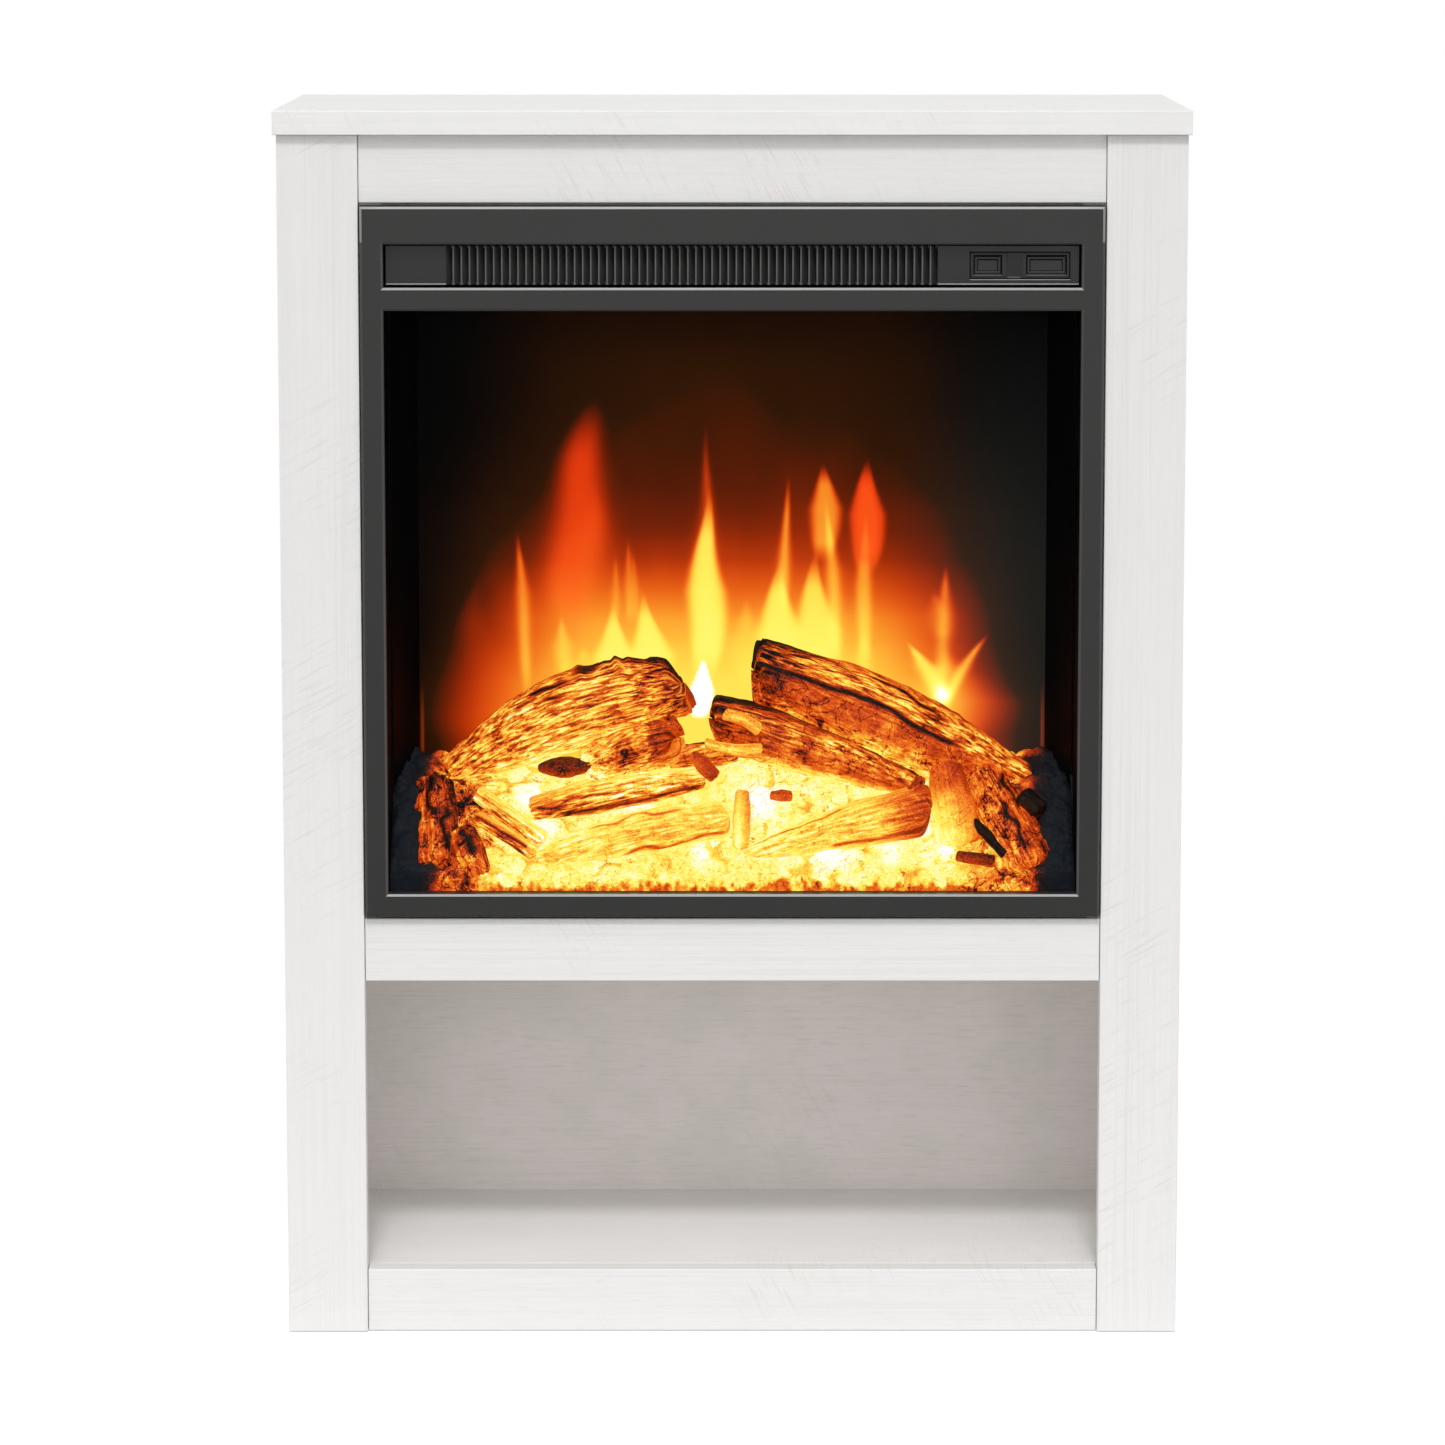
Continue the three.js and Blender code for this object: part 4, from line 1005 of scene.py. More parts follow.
# ------------------------ fascia
@dataclass
class Fascia:
    """Folded steel front with a window and a slot."""

    sheet: float = 1.3 * MM
    bend: float = 1.5 * MM
    turns: int = 5
    return_depth: float = 5.0 * MM
    window_lap: float = 5.0 * MM
    slot_gap: float = 1.2 * MM
    # Share of the painted highlight on bends that face sideways.
    side_painted_highlight: float = 0.08

    def build(self) -> None:
        """Builds the folded sheet over the fascia node."""
        extent = Extent.of("fascia")
        window = Extent.of("glass_pane").drawn_in(self.window_lap)
        slot = Extent.of("vent_panel").drawn_in(-self.slot_gap)
        surface = self.folded(extent, window, slot)
        make_piece("fascia_sheet", surface, BLACK_STEEL, ["fascia"])

    def profile(self, depth: float) -> Array:
        """The fold from the outer face round the edge and back to the inner face.

        A quarter turn of the bend's radius, a straight run to the depth, the sheet's edge, and
        the same again on the inside with the radius less the sheet.

        Args:
            depth: how far the folded edge reaches back.

        Returns:
            Rows of (distance past the flat, distance behind the face).
        """
        angle = np.linspace(0.0, math.pi / 2, self.turns)
        outer = np.stack([self.bend * np.sin(angle), self.bend * (1 - np.cos(angle))], axis=1)
        small = self.bend - self.sheet
        inner = np.stack([small * np.sin(angle), self.bend - small * np.cos(angle)], axis=1)
        ends = np.array([[self.bend, depth], [small, depth]])
        return np.concatenate([outer, ends, inner[::-1]])

    def folded(self, extent: Extent, window: Extent, slot: Extent) -> Surface:
        """The whole sheet.

        The flat is a grid of lines with the holes left out, once in front and once behind. Each
        edge of it is a ring of points that moves outwards (or into its hole) and back along the
        fold's profile, corner points moving on both axes.

        Args:
            extent: box of the sheet.
            window: the larger hole.
            slot: the smaller hole.

        Returns:
            One closed surface, whose glow is each face's share of painted highlight: bends that face up
            most.
        """
        bend = self.bend
        xs = [extent.low[0] + bend, window.low[0] - bend, window.high[0] + bend, extent.high[0] - bend]
        zs = [extent.low[2] + bend, window.low[2] - bend, window.high[2] + bend]
        zs += [slot.low[2] - bend, slot.high[2] + bend, extent.high[2] - bend]
        face = extent.low[1]
        grid = np.stack(np.meshgrid(xs, zs, indexing="ij"), axis=-1)
        columns, rows = grid.shape[:2]
        quads = np.array(grid_faces(columns, rows)).reshape(columns - 1, rows - 1, 4)
        solid = np.ones(quads.shape[:2], bool)
        solid[1, 1] = solid[1, 3] = False
        flat = np.insert(grid.reshape(-1, 2), 1, face, axis=1)
        count = len(flat)
        points = [flat, flat + np.array([0.0, self.sheet, 0.0])]
        faces = [tuple(q[::-1]) for q in quads[solid].tolist()]
        faces += [tuple(i + count for i in q) for q in quads[solid].tolist()]
        painted_highlight = [np.zeros(len(faces))]
        smooth = [False] * len(faces)
        index = np.arange(count).reshape(columns, rows)
        rings = [(rim(columns, rows), 1.0, extent.high[1] - face)]
        for low_row in (1, 3):
            hole = [index[1, low_row], index[2, low_row], index[2, low_row + 1], index[1, low_row + 1]]
            rings.append((np.array(hole), -1.0, self.return_depth))
        used = 2 * count
        for ring, way, depth in rings:
            profile = self.profile(depth)
            ends = flat[ring]
            lowest, highest = ends.min(axis=0), ends.max(axis=0)
            move = np.where(ends == highest, 1.0, 0.0) - np.where(ends == lowest, 1.0, 0.0)
            move[:, 1] = 0.0
            steps = profile[1:-1]
            moved = ends[None] + way * move[None] * steps[:, 0, None, None]
            moved[..., 1] = face + steps[:, 1, None]
            points.append(moved.reshape(-1, 3))
            around = len(ring)
            edge = way * (move + np.roll(move, -1, axis=0)) / 2
            # Painted highlight: full on the outer bends that face up, a little on those that face
            # sideways.
            facing = np.clip(edge[:, 2], 0.0, 1.0) + self.side_painted_highlight * (np.abs(edge[:, 0]) > 0.9)
            outer = np.arange(len(steps) + 1) < self.turns - 2
            painted_highlight.append(np.outer(outer, facing).ravel())
            between = used + np.arange(len(steps) * around).reshape(-1, around)
            numbers = np.concatenate([ring[None], between, ring[None] + count])
            following = np.roll(numbers, -1, axis=1)
            strip = np.stack([numbers[:-1], following[:-1], following[1:], numbers[1:]], axis=-1)
            strip = strip[..., ::-1] if way > 0 else strip
            faces += as_faces(strip.reshape(-1, 4))
            straight = np.array([self.turns - 1, self.turns, self.turns + 1])
            bent = ~np.isin(np.arange(len(numbers) - 1), straight)
            smooth += np.repeat(bent, around).tolist()
            used += len(steps) * around
        glow = np.repeat(np.concatenate(painted_highlight), 4)[:, None] * np.ones(4)
        return Surface(np.concatenate(points), faces, smooth, glow)


# ------------------------ louvres and keys
@dataclass
class Controls:
    """The louvred strip, its two keys, the receiver's window and the board behind."""

    flange: float = 1.15 * MM
    rim: float = 1.5 * MM
    dish: float = 1.3 * MM
    edge: float = 0.4 * MM
    cap: float = 2.6 * MM
    corner: float = 0.9 * MM
    stem: float = 2.0 * MM
    blank: float = 37.3 * MM
    control_end: float = 87.3 * MM
    blade_pitch: float = 5.0 * MM
    blade: float = 1.0 * MM
    blade_run: tuple[float, float] = (4.0 * MM, 5.5 * MM)
    pocket: tuple[float, float, float] = (67.6 * MM, 5.3 * MM, 17.1 * MM)
    # Width of the painted shadow lines and of the painted highlight bars.
    joint: float = 0.75 * MM
    lip: float = 0.8 * MM
    proud: float = 0.15 * MM
    rim_round: float = 0.2 * MM
    skirt: float = 0.6 * MM
    stem_gap: float = 0.3 * MM

    def build(self) -> None:
        """Dresses the strip and builds its louvre faces in paler plastic as painted light, its painted
        highlights, its painted shadow lines and its key caps.
        """
        dress(PLASTIC, ["vent_panel"])
        make_piece("blade_painted_highlights", self.painted_highlight_edges(), PAINTED_EDGE_HIGHLIGHT)
        make_piece("louvre_faces", self.louvres(), PAINTED_LIGHT_LOUVRE)
        make_piece("strip_painted_sill_highlights", self.painted_sill_highlights(), PAINTED_SILL_HIGHLIGHT)
        make_piece("key_painted_shadow_lines", self.joints(), SHADOW_LINE)
        make_piece("key_painted_highlights", self.key_painted_highlights(), PAINTED_EDGE_HIGHLIGHT)
        dress(LENS, ["receiver_lens"])
        dress(LACQUER, ["control_board"])
        for node, body in (("power_button", "power_key"), ("heat_button", "heat_key")):
            make_piece(node + "_cap", self.key(node), KEY_PLASTIC, [node], body)

    def bead(self, low_x: float, high_x: float, low_z: float, high_z: float) -> Surface:
        """A slim bar on the strip's face, a little proud of it.

        Args:
            low_x: left end.
            high_x: right end.
            low_z: lower edge.
            high_z: upper edge.

        Returns:
            The bar.
        """
        face = Extent.of("vent_panel").low[1]
        low = [low_x, face - self.proud, low_z]
        return rounded_box(low, [high_x, face + 2 * self.proud, high_z], self.proud, 1)

    def blades(self) -> Array:
        """Left edges of the blades, after the blank end's own edge as the first.

        Returns:
            The edges, from left to right.
        """
        extent = Extent.of("vent_panel")
        start, end = extent.low[0] + self.blank, extent.high[0] - self.control_end
        count = round((end - start + self.blade) / self.blade_pitch)
        return start - self.blade + np.arange(count) * self.blade_pitch

    def painted_highlight_edges(self) -> Surface:
        """The rounded front edge of each blade, with a foot at its lower end, in a pale finish that paints
        their highlight.

        Returns:
            The edges of all the blades as one surface.
        """
        extent = Extent.of("vent_panel")
        low, high = extent.low[2], extent.high[2]
        bars = []
        for x in self.blades()[1:]:
            bars.append(self.bead(x, x + self.blade, low + self.blade, high))
            foot = x + 1.3 * self.blade
            bars.append(self.bead(x - 0.3 * self.blade, foot, low, low + 1.2 * self.blade))
        return reduce(Surface.joined, bars)

    def louvres(self) -> Surface:
        """The slanted right-hand face of each blade, in a paler copy of the strip's plastic as painted
        light.

        Each is a thin upright plate whose points slide to the right in step with their depth.

        Returns:
            One closed surface for each blade and for the edge of the blank end.
        """
        extent = Extent.of("vent_panel")
        face = extent.low[1] + self.proud
        slide, depth = self.blade_run
        faces = []
        for x in self.blades() + self.blade:
            low = [x, face, extent.low[2] + self.proud]
            high = [x + self.proud, extent.low[1] + depth, extent.high[2] - self.proud]
            plate = rounded_box(low, high, 0.4 * self.proud, 1)
            plate.points[:, 0] += (plate.points[:, 1] - extent.low[1]) * slide / depth
            faces.append(plate)
        return reduce(Surface.joined, faces)

    def opening(self, node: str) -> Extent:
        """The hole that a key stands in: its box less the lip behind the plate."""
        return Extent.of(node).drawn_in(self.lip)

    def joints(self) -> Surface:
        """Painted shadow lines: black bars round the keys' pocket, and above and beside each key, where
        the recessed edges shade.

        Returns:
            The joints as one surface.
        """
        extent = Extent.of("vent_panel")
        left, right, tall = self.pocket
        x = (extent.high[0] - left, extent.high[0] - right)
        z = (extent.middle[2] - tall / 2, extent.middle[2] + tall / 2)
        wide = self.joint
        bars = [
            self.bead(x[0], x[1], z[1] - wide, z[1]),
            self.bead(x[0], x[1], z[0], z[0] + wide),
            self.bead(x[0], x[0] + wide, z[0], z[1]),
            self.bead(x[1] - wide, x[1], z[0], z[1]),
        ]
        for node in ("power_button", "heat_button"):
            hole = self.opening(node)
            (x0, _, z0), (x1, _, z1) = hole.low, hole.high
            bars.append(self.bead(x0 - 0.4 * wide, x1 + 0.7 * wide, z1, z1 + wide))
            bars.append(self.bead(x1, x1 + 0.7 * wide, z0, z1))
            bars.append(self.bead(x0 - 0.4 * wide, x0, z0, z1))
        return reduce(Surface.joined, bars)

    def key_painted_highlights(self) -> Surface:
        """Painted highlights: pale lower edges of the two keys' holes and of the receiver's window.

        Returns:
            The edges as one surface.
        """
        bars = []
        for node in ("power_button", "heat_button"):
            hole = self.opening(node)
            (x0, _, z0), (x1, _, _) = hole.low, hole.high
            bars.append(self.bead(x0, x1, z0 - self.joint, z0))
        lens, tall = Extent.of("receiver_lens"), self.pocket[2]
        foot = Extent.of("vent_panel").middle[2] - tall / 2
        bars.append(self.bead(lens.low[0], lens.high[0], foot + self.joint, foot + 2 * self.joint))
        return reduce(Surface.joined, bars)

    def painted_sill_highlights(self) -> Surface:
        """Painted highlights on the lower edges of the blank end, the control end and the keys' pocket.

        Returns:
            The arrises as one surface.
        """
        extent = Extent.of("vent_panel")
        low, thick = extent.low[2], 0.9 * self.blade
        left, right, tall = self.pocket
        whole = self.bead(extent.low[0], extent.low[0] + self.blank, low, low + thick)
        start = extent.high[0] - self.control_end
        whole = whole.joined(self.bead(start, extent.high[0], low, low + thick))
        foot = extent.middle[2] - tall / 2
        near, far = extent.high[0] - left, extent.high[0] - right
        return whole.joined(self.bead(near, far, foot - 0.6 * self.blade, foot))

    def key(self, node: str) -> Surface:
        """A cap with a dished field inside a raised rim, on a flange, and its stem.

        The stack runs from the dish's floor up its slope to the rim, round the rim's edge, down
        the side, and out and back round the flange.

        Args:
            node: the key's frame node.

        Returns:
            Two closed surfaces as one piece.
        """
        extent = Extent.of(node)
        side, slope = self.flange, 1.5 * self.rim
        rings = [
            (side + slope + 0.2 * self.rim, self.dish),
            (side + slope, 0.94 * self.dish),
            (side + self.rim, 0.1 * self.dish),
            (side + self.rim - self.rim_round, 0.0),
            (side + self.edge, 0.0),
            (side + 0.3 * self.edge, 0.3 * self.edge),
            (side, self.edge),
            (side, self.cap),
            (0.0, self.cap),
            (0.0, self.cap + self.skirt),
        ]
        top = stacked(extent.low, extent.high, self.corner + side, rings)
        middle, back = extent.middle, extent.high[1]
        reach = np.array([self.stem, 0.0, self.stem])
        low = np.array([middle[0], extent.low[1] + self.cap + self.stem_gap, middle[2]]) - reach
        high = np.array([middle[0], back, middle[2]]) + reach
        return top.joined(rounded_box(low, high, 0.6 * self.stem))


# ------------------------ flame picture
@dataclass(frozen=True)
class Tongue:
    """One flame, in mm: its foot's place across, then heights above the screen's foot."""

    middle: float
    foot: float
    tip: float
    widest: float
    half_width: float
    heat: float
    lean: float = 0.0
    soft: float = 2.4
    redness: float = 0.0
    point: float = 1.6

    def light(self, x: Array, height: Array) -> Array:
        """Heat that the flame adds over the screen.

        The half width grows as a sine from the foot to the widest height, and shrinks as a
        power of what is left above it. Heat falls off across the flame as the exponential of
        minus the distance in half widths to the softness's power, and fades at the foot and
        at the tip. The middle leans over as a power of the height, with a small sway.

        Args:
            x: place across, in mm from the middle.
            height: height above the screen's foot, in mm.

        Returns:
            Heat from 0 to 1, (...).
        """
        below = np.clip((height - self.foot) / (self.widest - self.foot), 0.0, 1.0)
        above = np.clip((self.tip - height) / (self.tip - self.widest), 0.0, 1.0)
        share = np.clip((height - self.foot) / (self.tip - self.foot), 0.0, 1.0)
        taper = np.where(height < self.widest, 0.4 + 0.6 * np.sin(below * math.pi / 2), above**self.point)
        centre = self.middle + self.lean * share**1.5
        centre = centre + 0.12 * self.half_width * np.sin(height / 13.0 + self.middle)
        across = np.abs(x - centre) / (self.half_width * taper + 0.7)
        fade = ease(0.0, 0.45, below) * ease(0.0, 0.55, above)
        return self.heat * np.exp(-0.7 * across**self.soft) * fade


@dataclass
class FlameScreen:
    """The picture of flames on the screen behind the logs, its lengths in mm.

    The haze's reach is its half width at each of a few heights.
    """

    columns: int = 350
    rows: int = 280
    lift: float = 5.0
    haze_middle: float = -3.0
    haze_reach: tuple[tuple[float, float], ...] = ((105, 151), (150, 141), (230, 143), (300, 122))
    # Painted glint: the distance from the middle of its thin red lines, and their colour.
    wall_glint: float = 200.2
    wall_glint_light: Colour = (0.35, 0.035, 0.003)
    sheen_light: Colour = (0.0095, 0.0110, 0.0095)
    hot: Tongue = Tongue(-21, 96, 145, 119, 7.5, 1.0, 2, 4.0)
    star: tuple[float, float] = (135.5, 116.0)
    haze_heights: tuple[float, ...] = (
        60, 125, 145, 165, 184, 204, 223, 250, 276, 302, 328, 354, 385,
    )
    haze_heats: tuple[float, ...] = (
        0.90, 0.87, 0.80, 0.69, 0.51, 0.33, 0.24, 0.175, 0.145, 0.122, 0.10, 0.05, 0.025,
    )
    tongues: tuple[Tongue, ...] = (
        Tongue(-104, 150, 312, 225, 14, 0.38, 14, 2.6, 1.0, 0.5),
        Tongue(-92, 130, 258, 200, 17, 0.12, 3, 2.0, 0.5),
        Tongue(-17, 118, 254, 183, 10.8, 0.80, 1, 5.0, 0.0, 1.4),
        Tongue(-16.5, 150, 296, 214, 5.0, 0.24, 0, 2.0),
        Tongue(-78, 118, 178, 142, 11, 0.74, 3, 5.0),
        Tongue(-53, 118, 186, 142, 12.5, 0.76, -3, 5.0),
        Tongue(-75, 160, 209, 182, 1.7, 0.25, 0, 2.0),
        Tongue(-66, 160, 220, 188, 1.8, 0.29, -1, 2.0),
        Tongue(-62, 160, 213, 184, 1.6, 0.23, -2, 2.0),
        Tongue(-132, 104, 224, 182, 3.0, 0.44, -6, 2.2),
        Tongue(-108.5, 124, 170, 148, 4.2, 0.40, -1, 2.2),
        Tongue(-96, 118, 150, 134, 8.0, 0.25, 0, 2.0),
        Tongue(33, 165, 262, 205, 2.6, 0.52, 3, 2.2),
        Tongue(28, 118, 207, 156, 13, 0.76, 4, 5.0, 0.0, 1.4),
        Tongue(53, 118, 212, 158, 12.5, 0.70, 1, 5.0, 0.0, 1.3),
        Tongue(12, 118, 182, 150, 9, 0.26, -4, 2.2),
        Tongue(59, 200, 267, 237, 8.2, 0.54, 0, 4.5, 0.0, 1.1),
        Tongue(68, 118, 246, 196, 3.4, 0.50, -8, 2.2),
        Tongue(85.5, 190, 270, 233, 9.2, 0.57, 2, 5.0, 1.0, 1.1),
        Tongue(84.5, 118, 238, 190, 3.8, 0.44, 1, 3.0),
        Tongue(84, 118, 160, 140, 5.0, 0.20, 0, 2.2),
        Tongue(134, 106, 202, 172, 3.4, 0.40, 4, 2.0),
        Tongue(134.5, 150, 186, 168, 6.0, 0.20, -5, 2.0),
        Tongue(136.5, 104, 152, 134, 5.2, 0.72, -25, 2.4),
        Tongue(137.5, 106, 157, 134, 2.8, 0.60, 29, 2.2),
        Tongue(135.5, 84, 150, 112, 22, 0.55, 0, 1.6),
        Tongue(-165, 80, 200, 120, 26, 0.10, 0, 1.8, 0.4),
    )

    def build(self) -> None:
        """Builds the sheet over its frame node, lit on its front."""
        extent = Extent.of("flame_screen")
        x = np.linspace(extent.low[0], extent.high[0], self.columns)
        z = np.linspace(extent.low[2], extent.high[2], self.rows)
        grid = np.stack(np.meshgrid(x, z, indexing="ij"), axis=-1)
        front = np.insert(grid.reshape(-1, 2), 1, extent.low[1], axis=1)
        height = (grid[..., 1] - extent.low[2]) / MM - self.lift
        glow = self.picture(grid[..., 0] / MM, height)
        back = front[rim(self.columns, self.rows)] + np.array([0.0, extent.size[1], 0.0])
        points, faces = backed(front, self.columns, self.rows, back)
        black = np.tile([0.0, 0.0, 0.0, 1.0], (len(back), 1))
        glow = np.concatenate([glow.reshape(-1, 4), black])
        surface = Surface(points, faces, [False] * len(faces), glow)
        make_piece("flame_picture", surface, SCREEN, ["flame_screen"])

    def picture(self, x: Array, height: Array) -> Array:
        """Colours of the haze and all the flames over the screen.

        The haze's heat follows a curve over the height, times a half raised to the fifth
        power of the distance from its middle in half widths. Each tongue then fills its share
        of the heat that is still missing to 1. A cold grey painted sheen lies over the right end,
        and a painted glint line near each side edge.

        Args:
            x: place across, in mm.
            height: height above the screen's foot, in mm.

        Returns:
            Linear colours with an alpha of 1, (..., 4).
        """
        place = np.stack([x / 45.0, height / 80.0, np.zeros_like(x)], axis=-1)
        drift = layered_noise(place, 3, 11) - 0.5
        heat = np.interp(height, self.haze_heights, self.haze_heats)
        half = np.interp(height, *zip(*self.haze_reach))
        across = np.abs((x - self.haze_middle) / half)
        heat = heat * 0.5 ** (across**5.0) * (1.0 + 0.5 * drift * ease(150.0, 220.0, height))
        red = np.zeros_like(heat)
        for tongue in self.tongues:
            added = tongue.light(x, height)
            heat = 1.0 - (1.0 - heat) * (1.0 - added)
            red = red + tongue.redness * added
        hot = self.hot.light(x, height)
        star = np.exp(-(((x - self.star[0]) / 5.0) ** 2) - ((height - self.star[1]) / 6.0) ** 2)
        heat = heat + 0.5 * ease(0.3, 0.9, hot) + 0.3 * star
        colours = heat_colours(heat)
        colours[..., 1:3] *= 1.0 - 0.72 * np.clip(2.0 * red, 0.0, 1.0)[..., None]
        # Painted glint of the flames on the firebox walls' edges, as thin red lines near both sides.
        wall_glint = np.exp(-(((np.abs(x) - self.wall_glint) / 0.6) ** 2)) * ease(76.0, 82.0, height)
        wall_glint = wall_glint * ease(128.0, 90.0, height)
        colours[..., :3] += wall_glint[..., None] * np.array(self.wall_glint_light)
        # Painted sheen: a cold grey reflection over the right end.
        sheen = ease(95.0, 175.0, x) * ease(400.0, 150.0, height)
        colours[..., :3] += sheen[..., None] * np.array(self.sheen_light)
        return colours


# ------------------------ log set
@dataclass(frozen=True)
class Band:
    """What a log looks like at one angle round it: 0 faces the front and 90 is its top."""

    angle: float
    heat: float
    streaks: float = 0.1
    mottle: float = 0.1


@dataclass(frozen=True)
class Crack:
    """A sooty crack along a log at an angle, over a share of its length."""

    angle: float
    start: float
    end: float
    width: float = 5.0
    wander: float = 10.0
    depth: float = 0.92


@dataclass(frozen=True)
class Knot:
    """A knot in the bark: its share of the length, its angle, and its reach in metres."""

    along: float
    angle: float
    reach: float


@dataclass(frozen=True)
class LogShape:
    """One log: its ends, radii, bow, bark and heat. A run is the length of one noise cell."""

    name: str
    start: Array
    end: Array
    radii: tuple[float, ...]
    bands: tuple[Band, ...]
    cracks: tuple[Crack, ...] = ()
    along: tuple[float, ...] = (1.0, 1.0)
    bow: float = 0.0
    seed: int = 1
    rows: int = 150
    around: int = 100
    slant: tuple[float, float] = (0.0, 0.0)
    ragged: float = 0.15
    lumpy: float = 0.3
    streak: tuple[float, float] = (0.0022, 0.016)
    relief: float = 0.0008
    squash: float = 0.85
    dome: float = 0.3
    teeth: float = 0.0
    knot: Knot | None = None
    swell_run: float = 0.028
    bite_run: float = 0.0045
    patch_run: float = 0.016
    wander_run: float = 0.02

    def surface(self) -> Surface:
        """The log's skin with its glow.

        The axis is the straight line between the ends plus a sine bow up. The radius runs
        through the given radii, swells with low noise, and rises and falls with the bark's
        streaks. Each end closes in a quarter turn towards the axis, moved along it by the
        slant times the height in the ring and by noise, for a broken end. Teeth of bark stand up
        along the top of the log's last part.

        Returns:
            One closed surface.
        """
        start, end = np.asarray(self.start, float), np.asarray(self.end, float)
        length = float(np.linalg.norm(end - start))
        direction = (end - start) / length
        side = np.cross(direction, [0.0, 0.0, 1.0])
        side /= np.linalg.norm(side)
        up = np.cross(side, direction)
        turn = np.linspace(CAP_START, math.pi / 2, CAP_ROWS, endpoint=False)
        plain = np.ones(self.rows - 2 * CAP_ROWS)
        t = np.concatenate([0.0 * turn, np.linspace(0.0, 1.0, len(plain)), 0.0 * turn + 1.0])
        shrink = np.concatenate([np.sin(turn), plain, np.sin(turn)[::-1]])
        bulge = np.concatenate([-np.cos(turn), 0.0 * plain, np.cos(turn)[::-1]])
        angle = np.linspace(0.0, 2 * math.pi, self.around, endpoint=False)
        tt, aa = np.meshgrid(t, angle, indexing="ij")
        ss = np.broadcast_to(shrink[:, None], tt.shape)
        ring = np.stack([np.cos(aa), np.sin(aa)], axis=-1)
        radius = np.interp(tt, np.linspace(0.0, 1.0, len(self.radii)), self.radii)
        run = tt * length
        place = np.concatenate([ring * 1.3, (run / self.swell_run)[..., None]], axis=-1)
        swell = layered_noise(place, 3, self.seed) - 0.5
        streak = self.streaks(ring * radius[..., None], run)
        thick = radius * (1.0 + self.lumpy * swell) * ss + self.relief * streak * ss
        bite = value_noise(np.stack([run / self.bite_run, 0 * run, 0 * run], axis=-1), self.seed + 71)
        raised = ease(0.5, 0.9, ring[..., 1]) * ease(0.55, 0.7, tt) * ss
        thick = thick + self.teeth * raised * (bite - 0.3)
        tooth = layered_noise(np.concatenate([ring * 4.0, 0.0 * tt[..., None]], axis=-1), 2, self.seed + 5)
        slant = self.slant[0] * ease(0.35, 0.0, tt) + self.slant[1] * ease(0.65, 1.0, tt)
        near_end = ease(0.25, 0.0, tt) + ease(0.75, 1.0, tt)
        out = bulge[:, None] * self.dome * radius + slant * ring[..., 1] * ss
        out = out + self.ragged * radius * near_end * (2.0 * tooth - 1.0) * np.sign(tt - 0.5)
        axis = start + direction * (run + out)[..., None]
        axis = axis + up * (self.bow * np.sin(math.pi * tt))[..., None]
        points = axis + thick[..., None] * (side * ring[..., :1] + up * (self.squash * ring[..., 1:]))
        glow = self.glow(points, aa, tt, streak)
        bark = np.concatenate([ring * radius[..., None], run[..., None]], axis=-1)
        first = tuple(range(self.around))
        last = tuple(range((self.rows - 1) * self.around, self.rows * self.around))[::-1]
        faces = [quad[::-1] for quad in grid_faces(self.rows, self.around, around=True)]
        faces += [first, last]
        smooth = [True] * len(faces)
        glow, bark = glow.reshape(-1, 4), bark.reshape(-1, 3)
        return Surface(points.reshape(-1, 3), faces, smooth, glow, bark)

    def streaks(self, ring: Array, run: Array) -> Array:
        """Bark: noise drawn out along the log, sharpened towards -1 and 1.

        Args:
            ring: place round the axis, in metres.
            run: place along it, in metres.

        Returns:
            Height from -1 to 1, (...).
        """
        fine, long = self.streak
        slow = np.concatenate([run[..., None], ring], axis=-1) / self.wander_run
        wander = 0.6 * (value_noise(slow, 4) - 0.5)
        place = np.concatenate([ring / fine + wander[..., None], (run / long)[..., None]], axis=-1)
        coarse = value_noise(place, self.seed + 21)
        detail = value_noise(place * np.array([1.9, 1.9, 2.3]), self.seed + 33)
        return np.clip(2.6 * (0.62 * coarse + 0.38 * detail - 0.5), -1.0, 1.0)

    def glow(self, points: Array, angle: Array, t: Array, streak: Array) -> Array:
        """What each point of the skin carries for the glowing finish.

        Each band's heat, streaks and patches hold at its angle and run evenly to the next
        band's. The heat is scaled along the log, and a crack takes it away as a bell curve of
        the angle from its wandering line, and the streaks and patches with it.

        Args:
            points: places of the skin.
            angle: turn round the axis.
            t: share of the length.
            streak: height of the bark.

        Returns:
            Heat, contrast of streaks, contrast of patches and 1, (..., 4).
        """
        degrees = np.degrees(angle)
        bands = sorted(self.bands, key=lambda band: band.angle % 360.0)
        at = [band.angle % 360.0 for band in bands]
        heat, ridged, mottled = (
            np.interp(degrees, at, [getattr(band, what) for band in bands], period=360.0)
            for what in ("heat", "streaks", "mottle")
        )
        patches = layered_noise(points / self.patch_run, 3, self.seed + 41) - 0.5
        heat = heat + 0.25 * ridged * streak + 1.2 * mottled * patches
        heat = heat * np.interp(t, np.linspace(0.0, 1.0, len(self.along)), self.along)
        clean = np.ones_like(heat)
        for crack in self.cracks:
            drift = value_noise(np.stack([t * 9.0, 0 * t, 0 * t], axis=-1), self.seed + 61) - 0.5
            away = (degrees - crack.angle - 2 * crack.wander * drift + 180.0) % 360.0 - 180.0
            length = ease(crack.start - 0.04, crack.start + 0.04, t)
            length = length * ease(crack.end + 0.04, crack.end - 0.04, t)
            clean = clean * (1.0 - crack.depth * length * np.exp(-((away / crack.width) ** 2)))
        if self.knot is not None:
            turn = (degrees - self.knot.angle + 180.0) % 360.0 - 180.0
            length = float(np.linalg.norm(np.subtract(self.end, self.start)))
            away = np.hypot(np.radians(turn) * max(self.radii), (t - self.knot.along) * length)
            away = away / self.knot.reach * (1.0 + 0.5 * patches)
            away = away * (1.0 + 0.35 * np.sin(2.0 * np.radians(turn) * 4.0 + 1.0))
